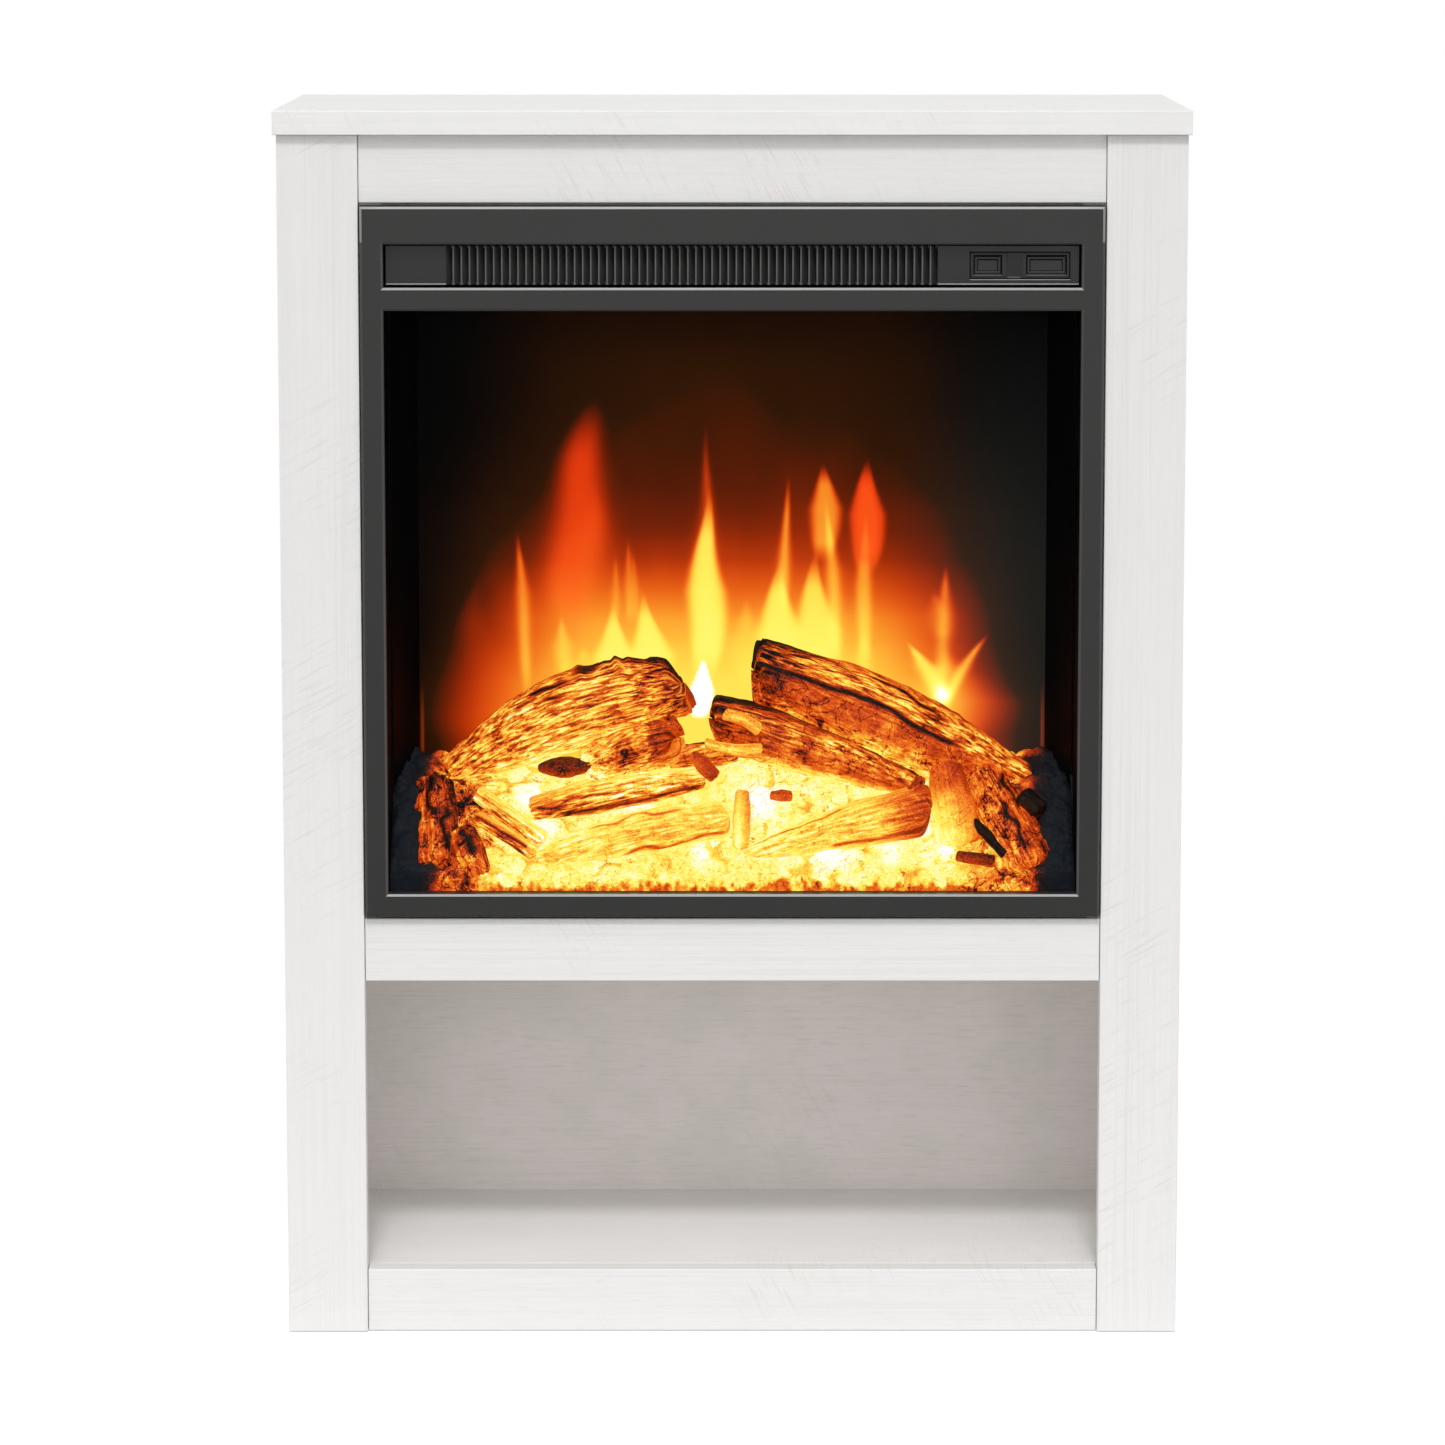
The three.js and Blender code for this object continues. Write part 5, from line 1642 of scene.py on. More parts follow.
            ripple = 0.14 * np.cos(2.0 * math.pi * away * 2.3) * np.exp(-((away / 1.5) ** 2))
            heat = heat + ripple - 0.42 * np.exp(-((away / 0.6) ** 2))
        return np.stack([heat * clean, ridged * clean, mottled * clean, np.ones_like(heat)], axis=-1)


@dataclass
class LogSet:
    """The ember bed and the logs on it.

    A hot spot is its place across, its height and its reach, in mm.
    """

    columns: int = 420
    rows: int = 200
    lump: float = 12.0 * MM
    lip: float = 16.0 * MM
    knee: float = 64.0 * MM
    knee_run: float = 43.0 * MM
    shoulder: float = 78.0 * MM
    flat: float = 21.0 * MM
    lip_rows: int = 26
    heap_rise: float = 15.0
    heap_middle: tuple[float, float] = (25.0 * MM, 48.0 * MM)
    heap_reach: tuple[float, float] = (75.0 * MM, 22.0 * MM)
    rounding: float = 3.0 * MM
    high_ends: tuple[float, float] = (0.150, 0.200)
    charred_from: tuple[float, float] = (0.138, 0.168)
    cold_from: tuple[float, float] = (0.204, 0.180)
    fibrous_foot: tuple[float, float] = (17.0 * MM, 10.5 * MM)
    hot_spots: tuple[tuple[float, float, float], ...] = (
        (-129, 335, 8), (-122, 315, 10), (-73, 338, 9), (-60, 333, 7), (-18, 304, 9),
        (17, 333, 13), (28, 307, 9), (62, 307, 13), (121, 319, 8), (138, 305, 8), (100, 304, 7),
    )
    extent: Extent = field(default_factory=lambda: Extent.of("ember_bed"))

    def build(self) -> None:
        """Builds the bed, the logs and the chips."""
        make_piece("ember_bed_moulding", self.bed(), EMBERS, ["ember_bed"])
        for shape in self.loose():
            make_piece(shape.name + "_bark", shape.surface(), BARK, [shape.name])
        for shape in [*self.moulded(), *self.chips()]:
            make_piece(shape.name, shape.surface(), BARK)

    def face(self, y: Array) -> Array:
        """Height of the bed's upper face: a steep front, an easier slope, a level shoulder.

        Args:
            y: place in depth, in metres.

        Returns:
            The height there.
        """
        low, high = self.extent.low[1], self.extent.high[1]
        depths = [low, low + self.knee_run, high - self.flat, high]
        heights = [self.lip, self.knee, self.shoulder, self.shoulder]
        return self.extent.low[2] + np.interp(y, depths, heights)

    def at(self, across: float, back: float, up: float) -> Array:
        """A place in shares of the bed, and up from its face in shoulder heights."""
        y = self.extent.low[1] + back * self.extent.size[1]
        return np.array([across * self.extent.size[0] / 2, y, self.face(y) + up * self.shoulder])

    def loose(self) -> list[LogShape]:
        """The three logs that lie loose, in the space of their frame nodes.

        Returns:
            The logs.
        """
        return [
            LogShape(
                "left_log", self.at(-0.83, 0.68, 0.03), self.at(-0.165, 0.66, 0.76),
                (12 * MM, 18 * MM, 24 * MM, 27 * MM, 28 * MM, 27 * MM, 21 * MM),
                (
                    Band(-90, 0.95, 0.05, 0.04), Band(-50, 0.80, 0.20, 0.12), Band(-22, 0.62, 0.34, 0.10),
                    Band(10, 0.62, 0.37, 0.08), Band(45, 0.63, 0.37, 0.08), Band(75, 0.58, 0.34, 0.08),
                    Band(95, 0.42, 0.20, 0.08), Band(140, 0.12, 0.04, 0.02), Band(230, 0.3, 0.05, 0.02),
                ),
                cracks=(
                    Crack(52, 0.42, 0.60, 5, 14), Crack(28, 0.47, 0.56, 5, 16),
                    Crack(84, 0.62, 1.1, 15, 8, 0.8),
                ),
                along=(0.92, 1.0, 1.03, 1.03, 1.0, 0.95, 0.5), bow=9 * MM, seed=3, rows=320, around=180,
                slant=(0.0, -0.004), ragged=0.22, lumpy=0.18, streak=(0.0021, 0.017), relief=0.0013,
                squash=0.92, dome=0.12, teeth=0.008,
            ),
            LogShape(
                "right_log", self.at(0.09, 0.66, 0.86), self.at(0.86, 0.66, -0.06),
                (23 * MM, 27 * MM, 28 * MM, 22 * MM, 13 * MM),
                (
                    Band(-90, 0.92, 0.05, 0.1), Band(-55, 0.86, 0.20, 0.22), Band(-28, 0.62, 0.12, 0.26),
                    Band(-5, 0.45, 0.06, 0.18), Band(14, 0.45, 0.14, 0.16), Band(26, 0.58, 0.38, 0.08),
                    Band(52, 0.60, 0.40, 0.08), Band(70, 0.60, 0.26, 0.16), Band(88, 0.42, 0.14, 0.12),
                    Band(105, 0.20, 0.05, 0.03), Band(180, 0.15, 0.02, 0.02),
                ),
                cracks=(
                    Crack(20, 0.06, 0.72, 5, 8), Crack(58, 0.34, 0.62, 4, 12),
                    Crack(92, -0.2, 0.22, 18, 4, 0.75),
                ),
                along=(0.35, 0.88, 1.0, 1.0, 1.0, 1.0, 0.92), bow=2 * MM, seed=8, rows=310, around=170,
                slant=(-0.009, 0.0), ragged=0.3, lumpy=0.24, streak=(0.0026, 0.024), relief=0.0014,
                squash=0.95, dome=0.15,
            ),
            LogShape(
                "centre_log", self.at(-0.03, 0.52, 0.56), self.at(0.545, 0.5, 0.03),
                (19 * MM, 21 * MM, 20 * MM, 16 * MM, 9 * MM),
                (
                    Band(-90, 0.97, 0.04, 0.04), Band(-45, 0.86, 0.14, 0.16), Band(-15, 0.42, 0.10, 0.14),
                    Band(15, 0.48, 0.22, 0.18), Band(40, 0.66, 0.34, 0.18), Band(62, 0.40, 0.20, 0.10),
                    Band(80, 0.12, 0.04, 0.03), Band(180, 0.08, 0.0, 0.0),
                ),
                along=(0.55, 0.9, 1.0, 1.0, 1.1), bow=2 * MM, seed=12, rows=200, around=120,
                slant=(-0.006, 0.0), ragged=0.3,
            ),
        ]

    def moulded(self) -> list[LogShape]:
        """The logs, stumps and blocks that are one with the bed.

        Returns:
            The logs, stumps and blocks.
        """
        pale = (
            Band(-90, 1.0, 0.0, 0.02), Band(-45, 0.92, 0.12, 0.06), Band(-12, 0.88, 0.18, 0.08),
            Band(30, 0.90, 0.16, 0.08), Band(75, 0.95, 0.10, 0.05), Band(180, 0.9, 0.0, 0.0),
        )
        lined = (
            Band(-90, 0.98, 0.04, 0.03), Band(-35, 0.62, 0.38, 0.12), Band(0, 0.78, 0.38, 0.12),
            Band(40, 0.88, 0.24, 0.08), Band(80, 0.96, 0.08, 0.04), Band(180, 0.9, 0.0, 0.0),
        )
        knot = (
            Band(-90, 0.95, 0.1, 0.1), Band(-40, 0.78, 0.26, 0.2), Band(0, 0.52, 0.24, 0.16),
            Band(40, 0.78, 0.24, 0.15), Band(90, 0.6, 0.2, 0.1), Band(180, 0.3, 0.0, 0.0),
        )
        smooth = (
            Band(-90, 0.97, 0.0, 0.05), Band(0, 0.86, 0.05, 0.08), Band(60, 0.74, 0.05, 0.10),
            Band(100, 0.62, 0.06, 0.08), Band(150, 0.4, 0.05, 0.05), Band(180, 0.3, 0.0, 0.0),
        )
        wedge = (Band(0, 0.44, 0.1, 0.12), Band(90, 0.38, 0.1, 0.1), Band(200, 0.5, 0.1, 0.1))
        stub = (Band(70, 1.0, 0.02, 0.03), Band(20, 0.72, 0.02, 0.05), Band(150, 0.70, 0.02, 0.05))
        char = (
            Band(-90, 0.48, 0.1, 0.26), Band(0, 0.52, 0.16, 0.27), Band(60, 0.48, 0.16, 0.26),
            Band(100, 0.40, 0.14, 0.26), Band(150, 0.2, 0.1, 0.2), Band(180, 0.2, 0.0, 0.1),
        )
        return [
            LogShape(
                "low_left_log", self.at(-0.58, 0.42, -0.08), self.at(-0.09, 0.45, 0.14),
                (11 * MM, 14 * MM, 13 * MM, 9 * MM), lined,
                cracks=(Crack(-28, 0.15, 0.98, 10, 10, 0.66), Crack(15, 0.0, 0.45, 5, 12, 0.6)),
                along=(0.72, 0.95, 1.0, 1.0), bow=2 * MM, seed=15, rows=190, streak=(0.0024, 0.016),
            ),
            LogShape(
                "front_left_log", self.at(-0.56, 0.20, -0.12), self.at(-0.03, 0.22, 0.18),
                (11 * MM, 15 * MM, 16 * MM, 13 * MM), pale,
                cracks=(Crack(-40, 0.45, 1.0, 8, 10, 0.5), Crack(70, 0.3, 0.8, 5, 14, 0.45)),
                along=(1.05, 1.0, 0.95, 0.97), bow=2 * MM, seed=18, rows=200, around=110,
            ),
            LogShape(
                "front_right_log", self.at(0.02, 0.20, -0.12), self.at(0.555, 0.22, 0.24),
                (7 * MM, 12 * MM, 17 * MM, 18 * MM), pale,
                cracks=(Crack(66, 0.1, 0.6, 4, 6, 0.5), Crack(-42, 0.5, 1.1, 9, 8, 0.5)),
                along=(1.04, 1.0, 0.97, 0.9, 0.42), bow=2 * MM, seed=22, rows=210, around=120,
                slant=(0.0, 0.006),
            ),
            LogShape(
                "corner_wedge", self.at(0.50, 0.20, 0.24), self.at(0.552, 0.22, 0.50),
                (6 * MM, 7 * MM, 4 * MM), wedge,
                along=(1.5, 1.0, 0.8), seed=25, rows=80, around=60, ragged=0.4, lumpy=0.6,
            ),
            LogShape(
                "middle_stub", self.at(0.03, 0.34, 0.20), self.at(0.022, 0.16, 0.04),
                (4.5 * MM, 5.5 * MM, 5 * MM), stub,
                along=(0.8, 1.0, 1.1), seed=24, rows=90, around=60, lumpy=0.5,
            ),
            LogShape(
                "upright_log", self.at(0.63, 0.44, 0.24), self.at(0.665, 0.22, 0.0),
                (11 * MM, 14 * MM, 14 * MM), smooth,
                along=(0.58, 0.66, 1.0, 1.18, 1.2), seed=26, rows=120, around=90, streak=(0.004, 0.03),
                relief=0.0004,
            ),
            LogShape(
                "right_charred_block", self.at(0.745, 0.5, 0.13), self.at(0.87, 0.12, -0.04),
                (13 * MM, 17 * MM, 18 * MM), char,
                cracks=(Crack(95, 0.1, 0.5, 9, 12), Crack(60, 0.4, 0.9, 7, 14)), along=(0.9, 1.0, 0.9),
                seed=29, around=110, lumpy=0.5, streak=(0.0032, 0.02), relief=0.002,
            ),
            LogShape(
                "left_charred_block", self.at(-0.88, 0.5, 0.06), self.at(-0.86, 0.13, -0.06),
                (12 * MM, 14 * MM, 15 * MM), char,
                cracks=(Crack(70, 0.0, 0.5, 12, 14), Crack(110, 0.4, 0.9, 10, 14)), along=(0.6, 0.9, 0.9),
                seed=31, around=110, lumpy=0.5, streak=(0.0026, 0.02), relief=0.002,
            ),
            LogShape(
                "left_stick", self.at(-0.745, 0.42, 0.06), self.at(-0.56, 0.2, 0.03),
                (6 * MM, 7 * MM), lined,
                along=(0.9, 1.0), seed=36, rows=90, around=60,
            ),
            LogShape(
                "left_low_stick", self.at(-0.75, 0.3, 0.06), self.at(-0.58, 0.14, 0.02),
                (5 * MM, 6 * MM), lined,
                cracks=(Crack(30, 0.0, 0.9, 14, 4, 0.75),), along=(0.8, 0.9), seed=37, rows=90, around=60,
            ),
            LogShape(
                "left_block", self.at(-0.79, 0.2, 0.1), self.at(-0.74, 0.08, -0.06),
                (8 * MM, 10 * MM, 9 * MM), char,
                cracks=(Crack(60, 0.0, 0.6, 24, 8),), along=(0.9, 1.0), seed=39, rows=90, around=70,
            ),
            LogShape(
                "knot_block", self.at(-0.41, 0.52, 0.22), self.at(-0.19, 0.5, 0.42),
                (12 * MM, 18 * MM, 20 * MM, 17 * MM), knot,
                cracks=(Crack(20, 0.8, 1.4, 70, 0, 0.4),), along=(1.15, 0.95, 0.95, 0.75), seed=43,
                around=110, ragged=0.6, lumpy=0.8, streak=(0.0022, 0.007), knot=Knot(0.46, 14, 9 * MM),
            ),
            LogShape(
                "saddle_block", self.at(-0.17, 0.58, 0.20), self.at(0.0, 0.57, 0.28),
                (10 * MM, 11 * MM, 10 * MM), knot,
                cracks=(Crack(88, -0.3, 1.3, 26, 5, 0.8),), along=(0.9, 0.9), seed=45, rows=100, around=80,
                ragged=0.4, lumpy=0.6, streak=(0.0022, 0.007),
            ),
        ]

    def chips(self) -> list[LogShape]:
        """Twigs and loose chips of charcoal on the bed.

        Returns:
            The twigs and chips.
        """
        dull = (Band(0, 0.22, 0.06, 0.08), Band(90, 0.16, 0.04, 0.05), Band(-90, 0.40, 0.05, 0.1))
        red = (Band(0, 0.40, 0.06, 0.06), Band(90, 0.34, 0.05, 0.05), Band(-90, 0.5, 0.05, 0.05))
        soot = (Band(0, 0.04, 0.04, 0.05), Band(90, 0.02, 0.0, 0.02), Band(-90, 0.2, 0.05, 0.1))
        twig = (Band(0, 0.82, 0.1, 0.08), Band(60, 0.72, 0.1, 0.1), Band(-60, 0.50, 0.1, 0.05),
                Band(180, 0.5, 0.0, 0.0))
        return [
            LogShape(
                "upper_twig", self.at(-0.02, 0.27, 0.95), self.at(0.075, 0.27, 0.83),
                (4.5 * MM, 5 * MM), twig,
                bow=2 * MM, seed=51, rows=70, around=50, lumpy=0.5,
            ),
            LogShape(
                "lower_twig", self.at(-0.075, 0.27, 0.72), self.at(0.08, 0.27, 0.66),
                (3.5 * MM, 4.5 * MM, 5 * MM), twig,
                bow=-2 * MM, seed=52, rows=70, around=50, lumpy=0.5,
            ),
            LogShape(
                "red_chip", self.at(-0.115, 0.33, 0.53), self.at(-0.055, 0.26, 0.46),
                (3.5 * MM, 5.5 * MM, 5 * MM), red,
                seed=53, rows=50, around=36,
            ),
            LogShape(
                "low_chip", self.at(0.115, 0.24, 0.34), self.at(0.17, 0.23, 0.345),
                (3 * MM, 4.5 * MM, 4 * MM), red,
                seed=54, rows=50, around=36,
            ),
            LogShape(
                "dark_chip", self.at(-0.57, 0.52, 0.18), self.at(-0.42, 0.5, 0.21),
                (2.5 * MM, 6 * MM, 7.5 * MM, 7.5 * MM, 6 * MM, 3 * MM), dull,
                seed=55, rows=70, around=50,
            ),
            LogShape(
                "right_coal", self.at(0.855, 0.34, 0.17), self.at(0.90, 0.3, 0.12),
                (7 * MM, 8 * MM), soot,
                seed=56, rows=60, around=50, lumpy=0.6,
            ),
            LogShape(
                "right_stick", self.at(0.70, 0.24, 0.14), self.at(0.80, 0.1, 0.08),
                (3 * MM, 4.5 * MM), soot,
                seed=57, rows=60, around=40,
            ),
            LogShape(
                "right_low_chip", self.at(0.66, 0.1, 0.06), self.at(0.76, 0.06, 0.08),
                (4 * MM, 5 * MM), dull,
                seed=58, rows=60, around=40,
            ),
        ]

    def bed(self) -> Surface:
        """The ember bed.

        Its rows climb the upright lip in front and then run back over the face. The height is
        the face's, raised by a heap shaped as a bell curve, and by two sizes of lumps: one less
        the square of the distance to the lump's centre. Lumps are low in the middle and high at
        both ends. The lip's rows bulge in and out by the same lumps.

        Returns:
            One closed surface with its glow.
        """
        low, high = self.extent.low, self.extent.high
        x = np.linspace(low[0], high[0], self.columns)
        y = np.concatenate([np.full(self.lip_rows, low[1]), np.linspace(low[1], high[1], self.rows)])
        climb = np.linspace(0.06, 1.0, self.lip_rows, endpoint=False)
        climb = np.concatenate([climb, np.ones(self.rows)])
        xx, yy = np.meshgrid(x, y, indexing="ij")
        face = low[2] + climb * (self.face(yy) - low[2])
        plan = np.stack([xx, yy * 0.7 + face * 0.9], axis=-1)
        away, owner = chunk_noise(plan / self.lump, 4)
        small, speck = chunk_noise(plan / (0.36 * self.lump), 9)
        ends = ease(*self.high_ends, np.abs(xx))
        across, back = (xx - self.heap_middle[0]), (yy - low[1] - self.heap_middle[1])
        heap = np.exp(-((across / self.heap_reach[0]) ** 4) - (back / self.heap_reach[1]) ** 4)
        lumps = (0.6 + 0.8 * owner) * np.clip(1.0 - away**2, 0.0, 1.0)
        rise = self.heap_rise * heap + (1.5 + 5.0 * ends) * lumps
        rise = (rise + (0.6 + 1.6 * ends) * np.clip(1.0 - small**2, 0.0, 1.0)) * MM
        height = face + climb**4 * rise
        depth = yy + (1.0 - climb**2) * climb * 2.0 * MM * lumps
        side = np.minimum(xx - x[0], x[-1] - xx) / self.rounding
        height = height - climb * self.rounding * (1.0 - np.clip(side, 0.0, 1.0))
        top = np.stack([xx, depth, height], axis=-1).reshape(-1, 3)
        glow = self.embers(xx, yy, height, away, owner, speck).reshape(-1, 4)
        edge = rim(self.columns, len(y))
        foot = top[edge] * np.array([1.0, 1.0, 0.0]) + np.array([0.0, 0.0, low[2]])
        points, faces = backed(top, self.columns, len(y), foot)
        dim = glow[edge] * np.array([0.3, 0.0, 0.0, 1.0])
        return Surface(points, faces, [True] * len(faces), np.concatenate([glow, dim]))

    def embers(self, x: Array, y: Array, z: Array, away: Array, owner: Array, speck: Array) -> Array:
        """What the bed carries: near white in the middle, and cold and sooty at both ends.

        Args:
            x: place across, in metres.
            y: place in depth, in metres.
            z: height, in metres.
            away: distance to the lump's centre.
            owner: a value of its own for each lump.
            speck: a value of its own for each small lump; not used.

        Returns:
            Heat, contrast of streaks, contrast of patches, and how clean it is, (..., 4).
        """
        place = np.stack([x / 0.024, y / 0.03, z / 0.03], axis=-1)
        drift = layered_noise(place, 3, 51) - 0.5
        fuzz = layered_noise(np.stack([x / 0.0023, y / 0.004, z / 0.0042], axis=-1), 3, 53)
        tufts = layered_noise(np.stack([x / 0.010, y / 0.01, z / 0.007], axis=-1), 2, 57)
        wander = 0.016 * (layered_noise(place * 1.4, 2, 59) - 0.5)
        inside = ease(*self.cold_from, np.abs(x) + wander)
        charred = ease(*self.charred_from, np.abs(x) + wander)
        heat = 1.0 + 0.2 * drift - 0.26 * ease(0.45, 0.8, away) * ease(0.4, 0.6, owner)
        amber = 0.50 + 0.9 * drift + 0.5 * (owner - 0.5) - 0.5 * ease(0.45, 0.8, away)
        heat = heat + charred * (amber - heat)
        above = z - self.extent.low[2] + 0.012 * (fuzz - 0.5) + 0.009 * (tufts - 0.5)
        heat = heat + ease(*self.fibrous_foot, above) * (0.54 + 0.6 * (fuzz - 0.45) - heat)
        heat = heat + self.lamps(x, z) * (1.0 - charred)
        patches = 0.09 + 0.26 * charred
        return np.stack([heat * inside, 0.0 * heat, patches * inside, inside], axis=-1)

    def lamps(self, x: Array, z: Array) -> Array:
        """Extra heat where the lamps under the bed show through, as bell curves round each.

        Args:
            x: places across, in metres.
            z: heights, in metres.

        Returns:
            The heat at each place.
        """
        extra = np.zeros_like(x)
        for across, up, reach in self.hot_spots:
            away = np.hypot((x / MM - across) / reach, 1.2 * (z / MM - up) / reach)
            extra = extra + 0.24 * np.exp(-(away**2))
        return extra


# ------------------------ the rest of the firebox
@dataclass
class Glazing:
    """Glass pane with arrised edges, and its gasket."""

    arris: float = 0.6 * MM

    def build(self) -> None:
        """Builds the pane and dresses the gasket."""
        extent = Extent.of("glass_pane")
        pane = rounded_box(extent.low, extent.high, self.arris, 2)
        make_piece("glass_pane_sheet", pane, GLASS, ["glass_pane"])
        dress(RUBBER, ["glass_gasket"])


@dataclass
class Casing:
    """Sheet steel round the works, with its feet, brackets, screws and cord bush."""

    def build(self) -> None:
        """Dresses the nodes."""
        sides = ["casing_left", "casing_right", "casing_top", "casing_bottom", "casing_back"]
        fixings = [
            side + part
            for side in ("left", "right")
            for part in ("_fixing_bracket", "_wood_screw", "_casing_screw")
        ]
        dress(ZINC, [*sides, "heat_shield", *fixings])
        dress(LINER, ["front_bulkhead", "left_firebox_wall", "right_firebox_wall"])
        feet = [f"foot_{end}_{side}" for end in ("front", "back") for side in ("left", "right")]
        dress(RUBBER, [*feet, "cord_bushing"])


@dataclass
class Works:
    """The heater and the drive of the flame effect."""

    def build(self) -> None:
        """Dresses the nodes."""
        dress(ZINC, ["heater_frame", "blower_housing", "blower_motor", "rotor_motor"])
        dress(ZINC, ["rotor_left_bracket", "rotor_right_bracket"])
        dress(CERAMIC, ["heating_element"])
        dress(PLASTIC, ["blower_wheel"])
        dress(BRIGHT, ["blower_shaft", "rotor_axle", "rotor_fins", "flame_reflector"])
        dress(LACQUER, ["power_board", "flame_lamp_board", "ember_lamp_board"])


# ------------------------ studio
@dataclass(frozen=True)
class Lamp:
    """A square soft lamp: where it hangs, the point it is aimed at, its side and its power."""

    name: str
    place: Triple
    aim: Triple
    size: float
    power: float

    def build(self) -> None:
        """Makes the lamp, unseen by the camera."""
        data = bpy.data.lights.new(self.name, "AREA")
        data.shape, data.size, data.energy = "SQUARE", self.size, self.power
        lamp = bpy.data.objects.new(self.name, data)
        lamp.location = self.place
        turn = (Vector(self.aim) - Vector(self.place)).to_track_quat("-Z", "Y")
        lamp.rotation_euler = turn.to_euler()
        lamp.visible_camera = False
        bpy.context.scene.collection.objects.link(lamp)


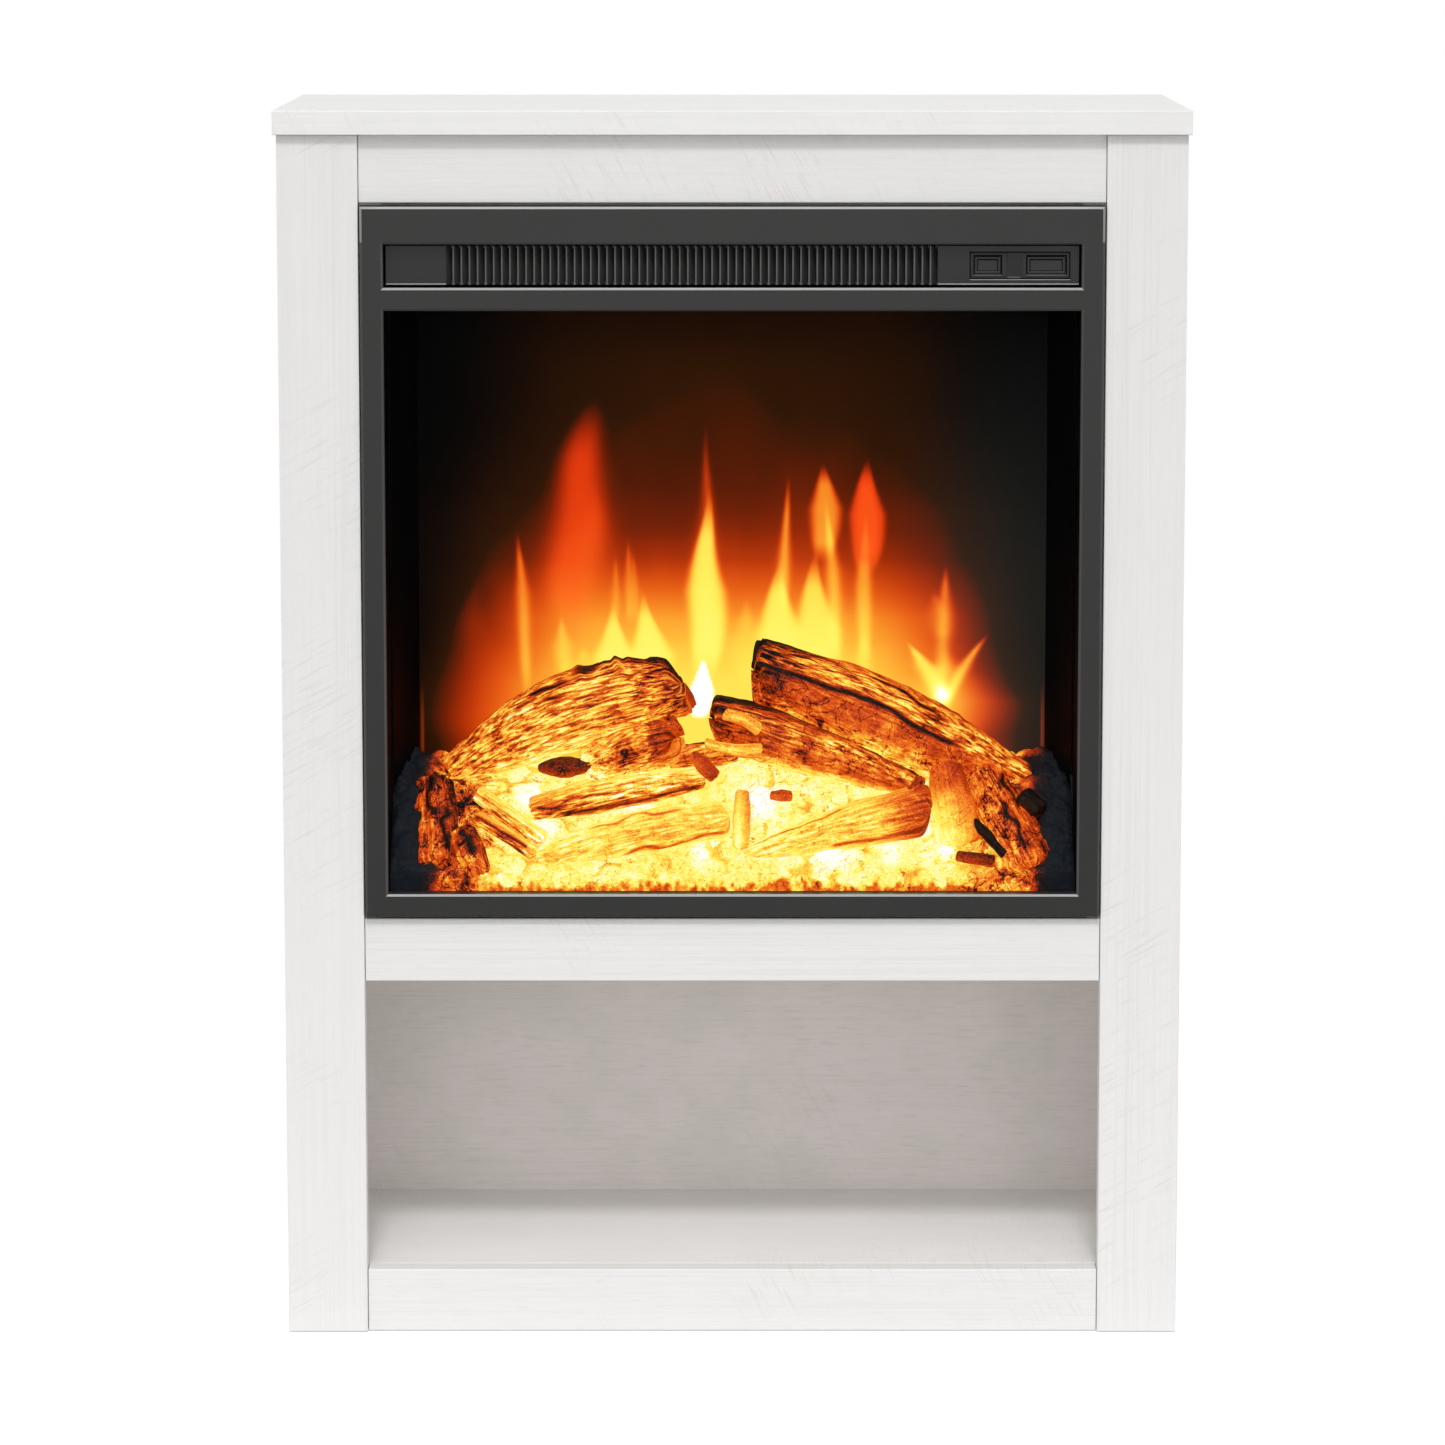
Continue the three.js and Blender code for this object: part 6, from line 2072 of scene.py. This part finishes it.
@dataclass
class Studio:
    """Camera, lamps, floor and white surroundings."""

    distance: float = 3.42
    height: float = 0.918
    pitch: float = 7.67
    lens: float = 133.5
    rise: float = -0.09
    slide: float = -0.0068
    key: float = 1.1
    key_spread: float = 9.0
    key_height: float = 51.0
    soft_lamps: tuple[Lamp, ...] = (
        Lamp("soft_lamp", (0.0, -2.7, 3.6), (0.0, 0.0, 0.35), 3.4, 70.0),
        Lamp("left_lamp", (-2.3, -1.6, 0.7), (0.0, 0.0, 0.4), 1.6, 5.5),
        Lamp("right_lamp", (2.3, -1.6, 0.7), (0.0, 0.0, 0.4), 1.6, 5.5),
        Lamp("left_flank_lamp", (-2.4, 0.6, 0.5), (0.0, 0.0, 0.4), 1.2, 16.0),
        Lamp("right_flank_lamp", (2.4, 0.6, 0.5), (0.0, 0.0, 0.4), 1.2, 16.0),
        Lamp("low_lamp", (0.0, -3.6, 0.25), (0.0, 0.0, 0.25), 2.6, 21.0),
    )
    ambient: float = 0.33
    floor_colour: float = 0.70
    floor_lift: float = 0.42
    floor_fade: tuple[float, float] = (0.7, 1.9)
    floor_reach: float = 6.0
    floor_drop: float = 0.5 * MM

    def build(self) -> None:
        """Builds them all."""
        self.camera()
        self.lamps()
        self.floor()
        self.surroundings()
        bpy.context.scene.view_settings.view_transform = "Standard"

    def camera(self) -> None:
        """The camera, level with the mantel and looking slightly down."""
        data = bpy.data.cameras.new("camera")
        data.lens, data.sensor_width = self.lens, 36.0
        data.shift_y, data.shift_x = self.rise, self.slide
        data.clip_end = 50.0
        camera = bpy.data.objects.new("camera", data)
        camera.location = (0.0, -self.distance, self.height)
        camera.rotation_euler = (math.radians(90.0 - self.pitch), 0.0, 0.0)
        bpy.context.scene.collection.objects.link(camera)
        bpy.context.scene.camera = camera

    def lamps(self) -> None:
        """A key from the front above, a large soft lamp over it, and lamps on all sides."""
        data = bpy.data.lights.new("key_lamp", "SUN")
        data.energy, data.angle = self.key, math.radians(self.key_spread)
        key = bpy.data.objects.new("key_lamp", data)
        key.rotation_euler = (math.radians(90.0 - self.key_height), 0.0, 0.0)
        bpy.context.scene.collection.objects.link(key)
        for lamp in self.soft_lamps:
            lamp.build()

    def floor(self) -> None:
        """A wide pale floor, white where nothing shades it and all white further out."""
        side = np.array([-self.floor_reach, self.floor_reach])
        x, y = np.meshgrid(side, side, indexing="ij")
        points = np.stack([x, y, np.full_like(x, -self.floor_drop)], axis=-1).reshape(-1, 3)
        mesh = bpy.data.meshes.new("studio_floor")
        mesh.from_pydata(points.tolist(), [], [(0, 2, 3, 1)])
        floor = bpy.data.objects.new("studio_floor", mesh)
        bpy.context.scene.collection.objects.link(floor)
        tree = Tree("studio_floor")
        tint = tree.noise(tree.place(), 2.0)
        shade = (self.floor_colour,) * 3
        pale = (self.floor_colour + 0.02,) * 3
        centre = tree.add("VectorMath", Vector=tree.place())
        centre.operation = "LENGTH"
        far = tree.span(centre.outputs["Value"], *self.floor_fade, 0.0, 1.0)
        ground = tree.mix(far, tree.mix(tint, shade, pale), (0.0, 0.0, 0.0))
        tree.set(Base_Color=ground, Roughness=0.9, Specular_IOR_Level=0.0)
        lift = tree.math("MULTIPLY_ADD", far, 1.0 - self.floor_lift, self.floor_lift)
        tree.set(Emission_Color=(1.0, 1.0, 1.0, 1.0), Emission_Strength=self.seen(tree, lift))
        mesh.materials.append(tree.material)

    @staticmethod
    def seen(tree: Tree, strength: Socket) -> Socket:
        """A strength for what camera, mirror and glass rays meet, and nothing for the rest.

        Args:
            tree: nodes of the floor's material.
            strength: the strength where it counts.

        Returns:
            The strength by kind of ray.
        """
        path = tree.add("LightPath").outputs
        share = tree.math("MAXIMUM", path["Is Camera Ray"], path["Is Glossy Ray"])
        share = tree.math("MAXIMUM", share, path["Is Transmission Ray"])
        return tree.math("MULTIPLY", share, strength)

    def surroundings(self) -> None:
        """White to the eye, to mirrors and to glass, and a plain soft light to the object."""
        world = bpy.data.worlds.new("surroundings")
        bpy.context.scene.world = world
        world.use_nodes = True
        nodes, links = world.node_tree.nodes, world.node_tree.links
        nodes.clear()
        path = nodes.new("ShaderNodeLightPath")
        share = path.outputs["Is Camera Ray"]
        for kind in ("Is Glossy Ray", "Is Transmission Ray"):
            either = nodes.new("ShaderNodeMath")
            either.operation = "MAXIMUM"
            links.new(share, either.inputs[0])
            links.new(path.outputs[kind], either.inputs[1])
            share = either.outputs[0]
        strength = nodes.new("ShaderNodeMapRange")
        strength.inputs["To Min"].default_value = self.ambient
        strength.inputs["To Max"].default_value = 1.0
        links.new(share, strength.inputs["Value"])
        light = nodes.new("ShaderNodeBackground")
        light.inputs["Color"].default_value = (1.0, 1.0, 1.0, 1.0)
        links.new(strength.outputs["Result"], light.inputs["Strength"])
        output = nodes.new("ShaderNodeOutputWorld")
        links.new(light.outputs[0], output.inputs["Surface"])


def main() -> None:
    """Builds the studio and each sub-assembly in order."""
    logging.basicConfig(level=logging.INFO, format="%(name)s: %(message)s")
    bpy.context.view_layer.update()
    parts = (Studio, Surround, Fascia, Controls, FlameScreen, LogSet, Glazing, Casing, Works)
    for part in parts:
        log.info("building %s", part.__name__)
        part().build()


if __name__ == "__main__":
    main()
